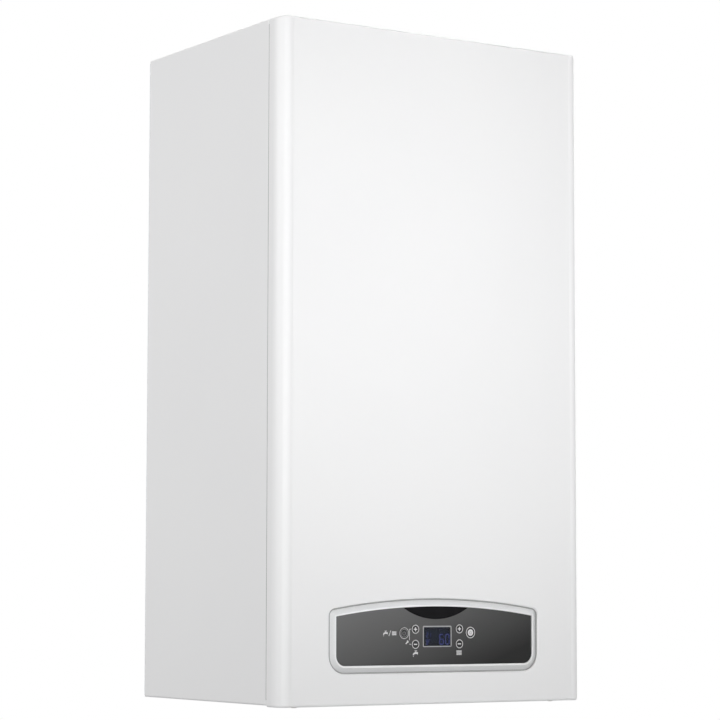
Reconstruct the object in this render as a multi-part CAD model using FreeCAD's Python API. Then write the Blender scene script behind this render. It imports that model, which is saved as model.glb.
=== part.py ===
# Wall-hung, room-sealed combination gas boiler, in millimetres.
# X runs to the viewer's right, Y into the wall and Z up. The wall is the plane Y = 0 and the casing's
# front face lies at Y = -DEPTH. Heights are counted from the casing's lower edge while the pieces are
# made, and each finished piece is then lowered so that the origin lies midway between the hanging holes.
import FreeCAD, Part
import math
import os

Vector = FreeCAD.Vector

# Overall size and painted casing sheet
WIDTH = 400.0
HEIGHT = 740.0
DEPTH = 300.0
SHEET = 1.0
CASING_RETURN = 27.0
CORNER_RADIUS = 8.0
SIDE_BEND_RADIUS = 30.0
SIDE_BEND_TURN = 30.0
EDGE_ROLL = 0.8
ROLL_FADE_RADIUS = 1.0
EDGE_RADIUS = 2.5
SEAM = 0.6
SIDE_LIFT = 1.5
SIDE_FLANGE = 14.0
SIDE_EDGE_RADIUS = 2.0

# General clearances, and one overrun for cuts
REST_GAP = 0.3
RUNNING_CLEARANCE = 0.05
HOLE_CLEARANCE = 0.6
OVERRUN = 2.0
NEAR = 0.01

# Rear frame and wall fixing
FRAME_SHEET = 1.2
FRAME_MARGIN = 2.0
HANG_DROP = 40.0
HANG_MARGIN = 30.0
HANG_HOLE_RADIUS = 5.5
RIB_DEPTH = 16.0
RIB_GAP = 0.8
RIB_END = 30.0

# Top plate, its catches, flue collar and air intakes
PLATE_GAP = 0.4
TOP_FLANGE = 16.0
FLANGE_SIDE_GAP = 4.0
CATCH_X_SHARE = 0.275
CATCH_WIDTH = 24.0
CATCH_REACH = 17.0
CATCH_TAB = 12.0
FLUE_SETBACK_SHARE = 0.0812
SPIGOT_RADIUS = 30.0
SPIGOT_RISE = 20.0
COLLAR_RADIUS = 50.0
COLLAR_WALL = 1.5
COLLAR_RISE = 20.0
COLLAR_BASE = 140.0
COLLAR_BASE_THICKNESS = 1.5
COLLAR_BASE_CORNER = 6.0
INTAKE_GAP = 10.0
INTAKE_RADIUS = 30.0
CAP_RADIUS = 38.0
CAP_THICKNESS = 1.5
CAP_RIM = 3.0

# Bottom plate and connections
CONNECTION_RECESS = 46.0
BOTTOM_DEPTH_SHARE = 0.75
BOTTOM_FLANGE = 25.0
CONNECTION_PITCH_SHARE = 0.1625
CONNECTION_Y_SHARE = 0.2
LARGE_STUB_RADIUS = 13.22
SMALL_STUB_RADIUS = 10.48
STUB_WALL = 3.2
STUB_END = 6.0
BLOCK_LIFT = 12.0
NUT_HEIGHT = 6.0
NUT_GRIP = 5.0
THREAD_DEPTH = 0.6
GLAND_X_SHARE = 0.4
GLAND_INSET = 40.0
GLAND_RADIUS = 8.0
GLAND_NUT_RADIUS = 11.0
GLAND_BORE = 4.5
GLAND_DROP = 15.0
GLAND_RISE = 10.0
GLAND_NUT_HEIGHT = 5.0

# Screws
SCREW_RADIUS = 2.0
SCREW_HEAD_RADIUS = 4.0
SCREW_HEAD = 1.8
SCREW_REACH = 3.0
SIDE_SCREW_HEIGHT_SHARES = (0.1, 0.5, 0.9)
TOP_SCREW_DEPTH_SHARES = (0.25, 0.75)
COVER_SCREW_HEIGHT_SHARES = (0.06, 0.35, 0.65, 0.94)
CASING_SCREW_SIDE_INSET = 11.3
CASING_SCREW_INSET = 7.0
CASING_SCREW_HEAD = 1.2
CASING_SCREW_TIP = 8.0
SLOT_CLEARANCE = 0.5

# Control panel outline on the casing's front
PANEL_HALF = 137.5
PANEL_BOTTOM = 34.8
PANEL_SHOULDER = 102.0
PANEL_APEX = 113.7
PANEL_LOW_RADIUS = 19.0
PANEL_TOP_RADIUS = 7.0
PANEL_SMALL_RADIUS = 0.8
CUTOUT_GAP = 0.8
CUTOUT_LIP = 5.0
CUTOUT_EDGE_RADIUS = 1.4

# Bezel, fascia, lens and display
BEZEL_SEAT = 6.0
BEZEL_EDGE_DROP = 2.8
BEZEL_PROUD = 0.5
BEZEL_SLOPE = 5.5
BEZEL_BAND = 7.7
BEZEL_LEDGE = 3.0
FASCIA_THICKNESS = 2.5
FASCIA_DROP = 1.3
FASCIA_GAP = 0.1
LENS_HALF = 43.0
LENS_BOTTOM = 92.1
LENS_THICKNESS = 0.6
DISPLAY_X = 1.9
DISPLAY_Z = 73.1
DISPLAY_WIDTH = 35.7
DISPLAY_HEIGHT = 20.6
WINDOW_DROP = 0.2
WINDOW_THICKNESS = 1.5

# Push buttons
SMALL_BUTTON_RADIUS = 5.0
LARGE_BUTTON_RADIUS = 6.4
SETTING_X = 29.2
SETTING_UP_Z = 81.2
SETTING_DOWN_Z = 64.85
SIDE_BUTTON_X = 44.05
SIDE_BUTTON_Z = 77.1
BUTTON_PROUD = 0.8
BUTTON_GAP = 0.3
BUTTON_COLLAR = 1.0
BUTTON_COLLAR_THICKNESS = 1.0
BUTTON_STEM_RADIUS = 2.0
BUTTON_TRAVEL = 0.8
BUTTON_EDGE = 0.5
SWITCH_SIDE = 6.0
SWITCH_HEIGHT = 0.8
SWITCH_REST = 0.2

# Control housing, its boards and hinge
HOUSING_GAP = 3.3
HOUSING_BOTTOM = 18.0
HOUSING_TOP = 150.0
HOUSING_DEPTH_SHARE = 0.19
HOUSING_WALL = 2.5
HOUSING_CORNER = 5.0
COVER_POST_RADIUS = 4.5
COVER_POST_LENGTH = 25.0
COVER_POST_INSET = 9.0
BOARD_THICKNESS = 1.6
BOARD_POST_RADIUS = 3.0
DISPLAY_BOARD_HALF = 62.0
DISPLAY_BOARD_LOW = 49.0
DISPLAY_BOARD_HIGH = 101.0
DISPLAY_BOARD_STANDOFF = 3.0
BOARD_POST_INSET = 4.5
MAIN_BOARD_WIDTH = 240.0
MAIN_BOARD_LOW = 40.0
MAIN_BOARD_HIGH = 128.0
MAIN_BOARD_STANDOFF = 6.4
RELAY_WIDTH = 22.0
RELAY_HEIGHT = 28.0
RELAY_DEPTH = 15.0
CAPACITOR_RADIUS = 9.0
CONNECTOR_HEIGHT = 10.0
CONNECTOR_DEPTH = 11.0
PIVOT_INSET = 9.0
PIVOT_RISE = 6.0
PIVOT_BOSS_RADIUS = 5.5
PIVOT_BOSS_DEPTH = 8.0
PIN_RADIUS = 3.0
PIN_HEAD_RADIUS = 5.0
PIN_HEAD = 1.5
PIN_SHORT = 1.0
BRACKET_SHEET = 1.5
BRACKET_HEIGHT = 70.0
BRACKET_TAB = 75.0
BRACKET_FRONT_SPACE = 8.0
BRACKET_FOOT_WIDTH = 21.0
BRACKET_FOOT_DEPTH = 24.0

# Expansion vessel between the rear frame and the sealed chamber
VESSEL_WIDTH_SHARE = 0.75
VESSEL_CORNER_SHARE = 0.2
VESSEL_LIFT = 23.0
VESSEL_TOP_SPACE = 47.8
VESSEL_WALL = 1.5
VESSEL_PORT_X_SHARE = 0.3
VESSEL_EDGE = 24.0
VESSEL_PORT_RADIUS = 8.0
VESSEL_PORT_LENGTH = 10.0

# Sealed chamber
CHAMBER_BACK_GAP = 6.0
CHAMBER_FRONT_SPACE = 38.0
CHAMBER_BOTTOM = 262.0
CHAMBER_DEPTH_SHARE = 0.616
CHAMBER_REAR_STOP = 6.0
CHAMBER_LIP = 12.0
SEAL_THICKNESS = 2.2
SEAL_WIDTH = 9.0
COVER_SWAGE_MARGIN = 34.0
COVER_SWAGE_RISE = 6.0
PIPE_HOLE_GAP = 1.5

# Burner, gas manifold and electrodes
STACK_WIDTH_SHARE = 0.625
STACK_SPACE = 25.4
BURNER_HEIGHT_SHARE = 0.1723
RAIL_LOW_SHARE = 0.45
RAMP_COUNT = 12
RAMP_PITCH_SHARE = 0.078
RAMP_WIDTH_SHARE = 0.564
RAMP_STEM_SHARE = 0.359
RAMP_HEIGHT = 34.0
RAMP_HEAD = 12.0
RAMP_SLOT_COUNT = 9
RAMP_SLOT = 1.5
RAMP_SLOT_DEPTH = 4.0
RAMP_SINK = 5.0
INJECTOR_RADIUS = 2.6
INJECTOR_HEX_RADIUS = 4.5
INJECTOR_TIP_GAP = 3.0
MOUTH_RADIUS = 3.2
MOUTH_DEPTH = 20.0
MANIFOLD_RADIUS = 8.0
MANIFOLD_SPACE = 14.0
MANIFOLD_WALL = 1.5
ELECTRODE_X_SHARES = (-0.32, -0.24, 0.3)
ELECTRODE_RISE = 14.0
CERAMIC_RADIUS = 3.0
CERAMIC_LENGTH = 34.0
CERAMIC_OUT_SHARE = 0.45
ELECTRODE_PLATE = 16.0
ELECTRODE_PLATE_THICKNESS = 1.5
WIRE_RADIUS = 1.0
WIRE_LENGTH = 22.0

# Combustion chamber, heat exchanger, hood
COMBUSTION_HEIGHT_SHARE = 0.2312
INSULATION = 12.0
EXCHANGER_HEIGHT_SHARE = 0.1576
EXCHANGER_TUBE_RADIUS_SHARE = 0.375
EXCHANGER_TUBE_COUNT = 5
EXCHANGER_PITCH_SHARE = 0.18
EXCHANGER_TUBE_RISE_SHARE = 0.5333
EXCHANGER_END_SPACE = 14.0
DROP_STUB = 2.0
FIN_COUNT = 24
FIN_SHARE = 0.12
FIN_MARGIN = 6.0
FIN_HEIGHT_SHARE = 0.6933
FAN_TOP_SPACE_SHARE = 0.1786
FAN_RISE_SHARE = 0.1639
RISER_HALF_SHARE = 0.795
RISER_DEPTH_SHARE = 0.1623
RISER_TOP_SHARE = 0.0925

# Fan
VOLUTE_RADIUS_SHARE = 0.1534
VOLUTE_STEP_SHARE = 0.0685
VOLUTE_DEPTH_SHARE = 0.2273
OUTLET_HALF_SHARE = 0.356
OUTLET_DROP = 15.0
OUTLET_PLATE_MARGIN = 4.0
OUTLET_PLATE = 1.5
SPIGOT_WALL = 1.2
FAN_EYE_SHARE = 0.493
FAN_MOTOR_RADIUS_SHARE = 0.52
FAN_MOTOR_LENGTH_SHARE = 0.2597
FAN_MOTOR_RING_SHARE = 0.63
FAN_MOTOR_RING_THICKNESS = 4.0
SHAFT_RADIUS = 4.0
SHAFT_DEPTH = 30.0
SHAFT_END_GAP = 2.0
SHAFT_HOLE_RADIUS = 9.0
WHEEL_RADIUS_SHARE = 0.671
WHEEL_INNER_SHARE = 0.548
WHEEL_GAP = 3.0
WHEEL_PLATE = 1.5
WHEEL_BLADES = 24
WHEEL_BLADE = 1.2
WHEEL_BLADE_TILT = 25.0
WHEEL_CHORD_SHARE = 0.55
HUB_RADIUS = 10.0
HUB_LENGTH = 22.0
SWITCH_DISC_RADIUS = 32.0
SWITCH_DISC_THICKNESS = 16.0
SWITCH_STEM_RADIUS = 12.0
SWITCH_STEM_LENGTH = 12.0
SWITCH_PORT_RADIUS = 3.0
SWITCH_PORT_LENGTH = 12.0
SWITCH_FROM_TOP = 95.0

# Hydraulic blocks and plate heat exchanger
BLOCK_MARGIN = 22.0
BLOCK_HALF_DEPTH = 28.0
BLOCK_HEIGHT = 46.0
BLOCK_EDGE = 5.0
PORT_RADIUS = 14.0
PORT_HEIGHT = 12.0
RISER_BLOCK_HALF = 24.0
RISER_BLOCK_HEIGHT = 86.0
PLATE_STACK_WIDTH_SHARE = 0.5
PLATE_STACK_HEIGHT = 46.0
PLATE_COUNT = 14
PLATE_EDGE_STEP = 1.5
PLATE_CORNER = 14.0
DIVERTER_RADIUS = 15.0
DIVERTER_LENGTH = 30.0
ACTUATOR_WIDTH = 44.0
ACTUATOR_HEIGHT = 50.0
ACTUATOR_DEPTH = 46.0
ACTUATOR_EDGE = 4.0

# Gas valve and pipes
GAS_VALVE_WIDTH = 76.0
GAS_VALVE_DEPTH_SHARE = 0.24
GAS_VALVE_HEIGHT = 80.0
GAS_VALVE_REAR_SHARE = 0.39
GAS_VALVE_LIFT = 26.0
GAS_INLET_HEIGHT = 88.0
GAS_FLANGE = 34.0
GAS_FLANGE_THICKNESS = 5.0
SOLENOID_RADIUS = 13.0
SOLENOID_LENGTH = 16.0
REGULATOR_RADIUS = 10.0
REGULATOR_LENGTH = 8.0
GAS_PIPE_RADIUS = 9.0
HEATING_PIPE_RADIUS = 9.0
VESSEL_PIPE_RADIUS = 5.0
PIPE_WALL = 1.0
GAS_BEND = 22.0
HEATING_BEND = 20.0
VESSEL_BEND = 14.0
GAS_CROSS_LOW = 205.0
GAS_CROSS_HIGH = 232.0
FLOW_CROSS_HIGH = 190.0
FLOW_CROSS_LOW = 160.0
RETURN_CROSS_LOW = 222.0
RETURN_CROSS_HIGH = 246.0
VESSEL_CROSS_HIGH = 252.0
VESSEL_CROSS_LOW = 218.0

# Pump and safety valve
PUMP_HEIGHT = 150.0
PUMP_RADIUS = 46.0
PUMP_DEPTH = 38.0
PUMP_CAVITY_RADIUS = 38.0
PUMP_BACK_WALL = 8.0
PUMP_PORT_RADIUS = 8.5
PUMP_OUTLET_TOP = 205.0
PUMP_MOTOR_RADIUS = 43.0
PUMP_MOTOR_LENGTH_SHARE = 0.2667
PUMP_FLANGE_THICKNESS = 5.0
PUMP_BOX_WIDTH = 50.0
PUMP_BOX_HEIGHT = 24.0
PUMP_BOX_LENGTH = 40.0
PUMP_CAP_RADIUS = 12.0
PUMP_CAP_THICKNESS = 3.0
IMPELLER_RADIUS = 34.0
IMPELLER_GAP = 6.0
IMPELLER_PLATE = 2.5
IMPELLER_BLADES = 6
IMPELLER_BLADE = 2.5
IMPELLER_BLADE_LENGTH = 22.0
IMPELLER_BLADE_HEIGHT = 10.0
AIR_VENT_RADIUS = 9.0
AIR_VENT_RISE = 26.0
AIR_VENT_OFFSET = 27.0
SAFETY_OFFSET = 10.0
SAFETY_HEIGHT = 80.0
SAFETY_RADIUS = 13.0
SAFETY_LENGTH = 32.0
SAFETY_STEM_RADIUS = 3.0
SAFETY_STEM_LENGTH = 12.0
SAFETY_STEM_GAP = 1.0
KNOB_RADIUS = 16.0
KNOB_LENGTH = 16.0
KNOB_GRIPS = 10
KNOB_GRIP_RADIUS = 2.5

# Pressure gauge and filling tap under the bottom plate
GAUGE_X_SHARE = 0.2625
GAUGE_INSET = 40.0
GAUGE_RADIUS = 20.0
GAUGE_WALL = 1.6
GAUGE_RIM = 3.0
GAUGE_RIM_THICKNESS = 2.0
GAUGE_DROP = 15.0
GAUGE_RISE = 8.0
GAUGE_DIAL_DEPTH = 10.0
NEEDLE_PIN_RADIUS = 1.0
NEEDLE_PIN_LENGTH = 5.0
NEEDLE_DROP = 2.6
NEEDLE_THICKNESS = 1.2
NEEDLE_HUB_RADIUS = 3.0
NEEDLE_LENGTH = 14.0
NEEDLE_TAIL = 6.0
NEEDLE_WIDTH = 1.6
NEEDLE_START = 135.0
TAP_RADIUS = 11.0
TAP_LOW = 14.0
TAP_HEIGHT = 22.0
TAP_EDGE = 2.0
TAP_STEM_RADIUS = 4.0
TAP_STEM_DEPTH = 10.0

# Places that several pieces share
HALF = WIDTH / 2
HANG_HEIGHT = HEIGHT - HANG_DROP
HANG_SPACING = WIDTH - 2 * HANG_MARGIN
CATCH_X = WIDTH * CATCH_X_SHARE
INTAKE_X = COLLAR_BASE / 2 + CAP_RADIUS + INTAKE_GAP
CONNECTION_PITCH = WIDTH * CONNECTION_PITCH_SHARE
CONNECTION_Y = -DEPTH * CONNECTION_Y_SHARE
FRONT_Y = -DEPTH
RETURN_Y = FRONT_Y + CASING_RETURN
SIDE_FRONT_Y = RETURN_Y + SEAM
FRAME_FACE_Y = -FRAME_SHEET
RIB_OUTER_X = HALF - SIDE_FLANGE - RIB_GAP
RIB_INNER_X = RIB_OUTER_X - FRAME_SHEET
TOP_PLATE_Z = HEIGHT - SHEET
CHAMBER_TOP = TOP_PLATE_Z - FRAME_SHEET
TOP_FRONT_Y = SIDE_FRONT_Y + SHEET + PLATE_GAP
BOTTOM_FRONT_Y = -DEPTH * BOTTOM_DEPTH_SHARE
GLAND_X = -WIDTH * GLAND_X_SHARE
GLAND_Y = BOTTOM_FRONT_Y + GLAND_INSET
GAUGE_X = -WIDTH * GAUGE_X_SHARE
GAUGE_Y = BOTTOM_FRONT_Y + GAUGE_INSET
PLATE_LOW = CONNECTION_RECESS - FRAME_SHEET
BLOCK_Z = CONNECTION_RECESS + BLOCK_LIFT
BLOCK_TOP = BLOCK_Z + BLOCK_HEIGHT
BLOCK_FRONT_Y = CONNECTION_Y - BLOCK_HALF_DEPTH
CASING_SCREW_Y = RETURN_Y - CASING_SCREW_INSET

BEZEL_CREST_Y = FRONT_Y - BEZEL_PROUD
BEZEL_EDGE_Y = FRONT_Y + BEZEL_EDGE_DROP
FASCIA_Y = BEZEL_CREST_Y + FASCIA_DROP
FASCIA_BACK_Y = FASCIA_Y + FASCIA_THICKNESS
HOUSING_Y = FRONT_Y + BEZEL_SEAT
HOUSING_BACK_Y = HOUSING_Y + DEPTH * HOUSING_DEPTH_SHARE
COVER_BACK_Y = HOUSING_BACK_Y + HOUSING_WALL
DISPLAY_BOARD_Y = HOUSING_Y + HOUSING_WALL + DISPLAY_BOARD_STANDOFF
MAIN_BOARD_Y = HOUSING_BACK_Y - MAIN_BOARD_STANDOFF
BRACKET_OUTER_X = RIB_INNER_X - FRAME_SHEET
BRACKET_INNER_X = BRACKET_OUTER_X - BRACKET_SHEET
CASING_SCREW_X = BRACKET_INNER_X - CASING_SCREW_SIDE_INSET
HOUSING_HALF = BRACKET_INNER_X - HOUSING_GAP
PIVOT_Y = HOUSING_Y + PIVOT_INSET
PIVOT_Z = HOUSING_BOTTOM + PIVOT_RISE

CHAMBER_FRONT_Y = FRONT_Y + CHAMBER_FRONT_SPACE
CHAMBER_DEPTH = DEPTH * CHAMBER_DEPTH_SHARE
CHAMBER_BACK_Y = CHAMBER_FRONT_Y + CHAMBER_DEPTH
CHAMBER_MID_Y = (CHAMBER_BACK_Y + CHAMBER_FRONT_Y) / 2
CHAMBER_HEIGHT = CHAMBER_TOP - CHAMBER_BOTTOM
VESSEL_FRONT_Y = CHAMBER_BACK_Y + CHAMBER_BACK_GAP
VESSEL_WIDTH = WIDTH * VESSEL_WIDTH_SHARE
VESSEL_CORNER = VESSEL_WIDTH * VESSEL_CORNER_SHARE
VESSEL_PORT_X = VESSEL_WIDTH * VESSEL_PORT_X_SHARE
VESSEL_BOTTOM = CHAMBER_BOTTOM + VESSEL_LIFT
VESSEL_TOP = CHAMBER_TOP - VESSEL_TOP_SPACE
CHAMBER_FLOOR = CHAMBER_BOTTOM + SHEET
CHAMBER_HALF = RIB_INNER_X
COVER_Y = CHAMBER_FRONT_Y - SEAL_THICKNESS

STACK_WIDTH = WIDTH * STACK_WIDTH_SHARE
STACK_HALF = STACK_WIDTH / 2
STACK_FRONT_Y = CHAMBER_FRONT_Y + STACK_SPACE
STACK_BACK_Y = CHAMBER_BACK_Y - STACK_SPACE
RAMP_PITCH = STACK_WIDTH * RAMP_PITCH_SHARE
RAMP_WIDTH = RAMP_PITCH * RAMP_WIDTH_SHARE
RAMP_STEM_WIDTH = RAMP_PITCH * RAMP_STEM_SHARE
BURNER_HEIGHT = CHAMBER_HEIGHT * BURNER_HEIGHT_SHARE
BURNER_TOP = CHAMBER_FLOOR + BURNER_HEIGHT
RAIL_LOW = BURNER_HEIGHT * RAIL_LOW_SHARE
COMBUSTION_TOP = BURNER_TOP + CHAMBER_HEIGHT * COMBUSTION_HEIGHT_SHARE
EXCHANGER_HEIGHT = CHAMBER_HEIGHT * EXCHANGER_HEIGHT_SHARE
EXCHANGER_TOP = COMBUSTION_TOP + EXCHANGER_HEIGHT
EXCHANGER_PITCH = (STACK_BACK_Y - STACK_FRONT_Y) * EXCHANGER_PITCH_SHARE
EXCHANGER_TUBE_RADIUS = EXCHANGER_PITCH * EXCHANGER_TUBE_RADIUS_SHARE
FIN_HEIGHT = EXCHANGER_HEIGHT * FIN_HEIGHT_SHARE
TUBE_Z = COMBUSTION_TOP + EXCHANGER_HEIGHT * EXCHANGER_TUBE_RISE_SHARE
TUBE_FRONT_Y = CHAMBER_MID_Y - EXCHANGER_PITCH * (EXCHANGER_TUBE_COUNT - 1) / 2
TUBE_BACK_Y = CHAMBER_MID_Y + EXCHANGER_PITCH * (EXCHANGER_TUBE_COUNT - 1) / 2
DROP_X = STACK_HALF + EXCHANGER_END_SPACE + EXCHANGER_PITCH / 2
DROP_Z = TUBE_Z - EXCHANGER_TUBE_RADIUS
MANIFOLD_Y = STACK_FRONT_Y - MANIFOLD_SPACE
RAMP_TOP = BURNER_TOP - RAMP_SINK
INJECTOR_Z = RAMP_TOP - RAMP_HEIGHT / 2

FLUE_Y = CHAMBER_MID_Y + CHAMBER_DEPTH * FLUE_SETBACK_SHARE
VOLUTE_RADIUS = CHAMBER_HEIGHT * VOLUTE_RADIUS_SHARE
VOLUTE_STEP = VOLUTE_RADIUS * VOLUTE_STEP_SHARE
VOLUTE_DEPTH = CHAMBER_DEPTH * VOLUTE_DEPTH_SHARE
OUTLET_HALF = VOLUTE_RADIUS * OUTLET_HALF_SHARE
FAN_EYE_RADIUS = VOLUTE_RADIUS * FAN_EYE_SHARE
FAN_MOTOR_RADIUS = VOLUTE_RADIUS * FAN_MOTOR_RADIUS_SHARE
FAN_MOTOR_RING = VOLUTE_RADIUS * FAN_MOTOR_RING_SHARE
FAN_MOTOR_LENGTH = CHAMBER_DEPTH * FAN_MOTOR_LENGTH_SHARE
WHEEL_RADIUS = VOLUTE_RADIUS * WHEEL_RADIUS_SHARE
WHEEL_INNER_RADIUS = VOLUTE_RADIUS * WHEEL_INNER_SHARE
RISER_HALF = VOLUTE_RADIUS * RISER_HALF_SHARE
RISER_DEPTH = CHAMBER_DEPTH * RISER_DEPTH_SHARE
RISER_TOP = CHAMBER_HEIGHT * RISER_TOP_SHARE
FAN_Z = CHAMBER_TOP - CHAMBER_HEIGHT * FAN_TOP_SPACE_SHARE
FAN_X = OUTLET_HALF - VOLUTE_RADIUS
FAN_FRONT_Y = FLUE_Y - VOLUTE_DEPTH / 2
FAN_BACK_Y = FLUE_Y + VOLUTE_DEPTH / 2
HOOD_TOP = FAN_Z - CHAMBER_HEIGHT * FAN_RISE_SHARE
OUTLET_Z = CHAMBER_TOP - OUTLET_DROP

FLOW_X = -2 * CONNECTION_PITCH
HOT_X = -CONNECTION_PITCH
COLD_X = CONNECTION_PITCH
RETURN_X = 2 * CONNECTION_PITCH
PUMP_Y = BLOCK_FRONT_Y - PUMP_DEPTH
PUMP_PORT_Y = BLOCK_FRONT_Y - PUMP_DEPTH / 2
RISER_BLOCK_TOP = BLOCK_TOP + RISER_BLOCK_HEIGHT
PUMP_MOTOR_LENGTH = DEPTH * PUMP_MOTOR_LENGTH_SHARE
PLATE_STACK_WIDTH = WIDTH * PLATE_STACK_WIDTH_SHARE
SAFETY_X = COLD_X + SAFETY_OFFSET
GAS_VALVE_DEPTH = DEPTH * GAS_VALVE_DEPTH_SHARE
GAS_VALVE_BACK_Y = -DEPTH * GAS_VALVE_REAR_SHARE
GAS_VALVE_Y = GAS_VALVE_BACK_Y - GAS_VALVE_DEPTH / 2
GAS_VALVE_Z = CONNECTION_RECESS + GAS_VALVE_LIFT
GAS_VALVE_TOP = GAS_VALVE_Z + GAS_VALVE_HEIGHT
TAP_X = (COLD_X + RETURN_X) / 2

BUTTONS = {
    "button_water_up": (DISPLAY_X - SETTING_X, SETTING_UP_Z, SMALL_BUTTON_RADIUS),
    "button_water_down": (DISPLAY_X - SETTING_X, SETTING_DOWN_Z, SMALL_BUTTON_RADIUS),
    "button_heating_up": (DISPLAY_X + SETTING_X, SETTING_UP_Z, SMALL_BUTTON_RADIUS),
    "button_heating_down": (DISPLAY_X + SETTING_X, SETTING_DOWN_Z, SMALL_BUTTON_RADIUS),
    "button_mode": (DISPLAY_X - SIDE_BUTTON_X, SIDE_BUTTON_Z, LARGE_BUTTON_RADIUS),
    "button_reset": (DISPLAY_X + SIDE_BUTTON_X, SIDE_BUTTON_Z, LARGE_BUTTON_RADIUS),
}
CONNECTIONS = (
    (FLOW_X, LARGE_STUB_RADIUS),
    (HOT_X, SMALL_STUB_RADIUS),
    (0, LARGE_STUB_RADIUS),
    (COLD_X, SMALL_STUB_RADIUS),
    (RETURN_X, LARGE_STUB_RADIUS),
)


# Building blocks


def box(x0, x1, y0, y1, z0, z1):
    """Box between two limits on each axis."""
    return Part.makeBox(x1 - x0, y1 - y0, z1 - z0, Vector(x0, y0, z0))


def rod(radius, start, end):
    """Round bar from start to end."""
    axis = end - start
    return Part.makeCylinder(radius, axis.Length, start, axis)


def bar_x(radius, x0, x1, y, z):
    return rod(radius, Vector(x0, y, z), Vector(x1, y, z))


def bar_y(radius, y0, y1, x, z):
    return rod(radius, Vector(x, y0, z), Vector(x, y1, z))


def bar_z(radius, z0, z1, x, y):
    return rod(radius, Vector(x, y, z0), Vector(x, y, z1))


def join(first, *others):
    """One solid from pieces that meet or overlap."""
    return first.fuse(list(others)).removeSplitter()


def take(shape, *tools):
    """The shape with every tool cut out of it."""
    return shape.cut(list(tools))


def both_sides(shape):
    """The shape and its mirror image across the middle plane."""
    return [shape, shape.mirror(Vector(0, 0, 0), Vector(1, 0, 0))]


def lies_at(edge, axis, value):
    """True when the whole edge lies in the plane axis = value."""
    bounds = edge.BoundBox
    limits = {
        "x": (bounds.XMin, bounds.XMax),
        "y": (bounds.YMin, bounds.YMax),
        "z": (bounds.ZMin, bounds.ZMax),
    }[axis]
    return abs(limits[0] - value) < NEAR and abs(limits[1] - value) < NEAR


def rounded(shape, radius, chosen):
    """The shape with the chosen edges rounded."""
    return shape.makeFillet(radius, [edge for edge in shape.Edges if chosen(edge)])


def along(axis):
    """Test for straight edges that run along the axis."""
    direction = {"x": Vector(1, 0, 0), "y": Vector(0, 1, 0), "z": Vector(0, 0, 1)}[axis]

    def test(edge):
        run = edge.Vertexes[-1].Point - edge.Vertexes[0].Point
        return run.Length > NEAR and run.cross(direction).Length < NEAR

    return test


def bent_path(points, bend):
    """Wire through the points, its corners rounded with the bend radius."""
    edges = []
    start = points[0]
    for before, corner, after in zip(points, points[1:], points[2:]):
        inward = (before - corner).normalize()
        outward = (after - corner).normalize()
        half_angle = inward.getAngle(outward) / 2
        first = corner + inward * (bend / math.tan(half_angle))
        last = corner + outward * (bend / math.tan(half_angle))
        middle = corner + (inward + outward).normalize() * (bend / math.sin(half_angle) - bend)
        edges.append(Part.LineSegment(start, first).toShape())
        edges.append(Part.Arc(first, middle, last).toShape())
        start = last
    edges.append(Part.LineSegment(start, points[-1]).toShape())
    return Part.Wire(edges)


def pipe(points, bend, radius, wall):
    """Bent round tube along the points."""
    path = bent_path(points, bend)

    def sweep(size):
        circle = Part.Wire(Part.makeCircle(size, points[0], points[1] - points[0]))
        return path.makePipeShell([circle], True, False)

    return sweep(radius).cut(sweep(radius - wall))


def tray(x0, x1, y0, y1, z0, z1, radius):
    """Solid block with rounded edges along its x0 face, which a smaller one hollows into a tray."""
    block = box(x0, x1, y0, y1, z0, z1)
    return rounded(block, radius, lambda edge: lies_at(edge, "x", x0))


def prism(points, y0, y1):
    """Straight-sided outline in X and Z, carried from y0 to y1."""
    corners = [Vector(x, y0, z) for x, z in points]
    return Part.Face(Part.makePolygon(corners + corners[:1])).extrude(Vector(0, y1 - y0, 0))


def rectangle(x0, x1, y0, y1, z):
    """Level rectangular wire."""
    corners = [Vector(x0, y0, z), Vector(x1, y0, z), Vector(x1, y1, z), Vector(x0, y1, z)]
    return Part.makePolygon(corners + corners[:1])


def hexagon(radius, z0, z1, x, y):
    """Upright hexagonal nut blank, measured across its corners."""
    angles = [index * math.tau / 6 for index in range(6)]
    corners = [Vector(x + radius * math.cos(a), y + radius * math.sin(a), z0) for a in angles]
    return Part.Face(Part.makePolygon(corners + corners[:1])).extrude(Vector(0, 0, z1 - z0))


# Frame and casing


def rear_frame():
    side = HALF - SHEET
    sheet = box(-side, side, FRAME_FACE_Y, 0, SIDE_LIFT + FRAME_MARGIN, TOP_PLATE_Z - FRAME_MARGIN)
    rib = box(
        RIB_INNER_X, RIB_OUTER_X,
        FRAME_FACE_Y - RIB_DEPTH, FRAME_FACE_Y,
        RIB_END, CHAMBER_TOP - RIB_END,
    )
    holes = [
        bar_y(HANG_HOLE_RADIUS, FRAME_FACE_Y - OVERRUN, OVERRUN, side_sign * HANG_SPACING / 2, HANG_HEIGHT)
        for side_sign in (-1, 1)
    ]
    return take(join(sheet, *both_sides(rib)), *holes, *screw_shanks())


def side_panel_left():
    """Folded pan whose four flanges point into the boiler."""
    outer = tray(
        -HALF, -HALF + SIDE_FLANGE, SIDE_FRONT_Y, FRAME_FACE_Y, SIDE_LIFT, HEIGHT, SIDE_EDGE_RADIUS
    )
    inner = tray(
        -HALF + SHEET, -HALF + SIDE_FLANGE + OVERRUN,
        SIDE_FRONT_Y + SHEET, FRAME_FACE_Y - SHEET,
        SIDE_LIFT + SHEET, HEIGHT - SHEET,
        SIDE_EDGE_RADIUS - SHEET,
    )
    return take(outer, inner, *screw_shanks())


def side_panel_right():
    return side_panel_left().mirror(Vector(0, 0, 0), Vector(1, 0, 0))


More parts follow.
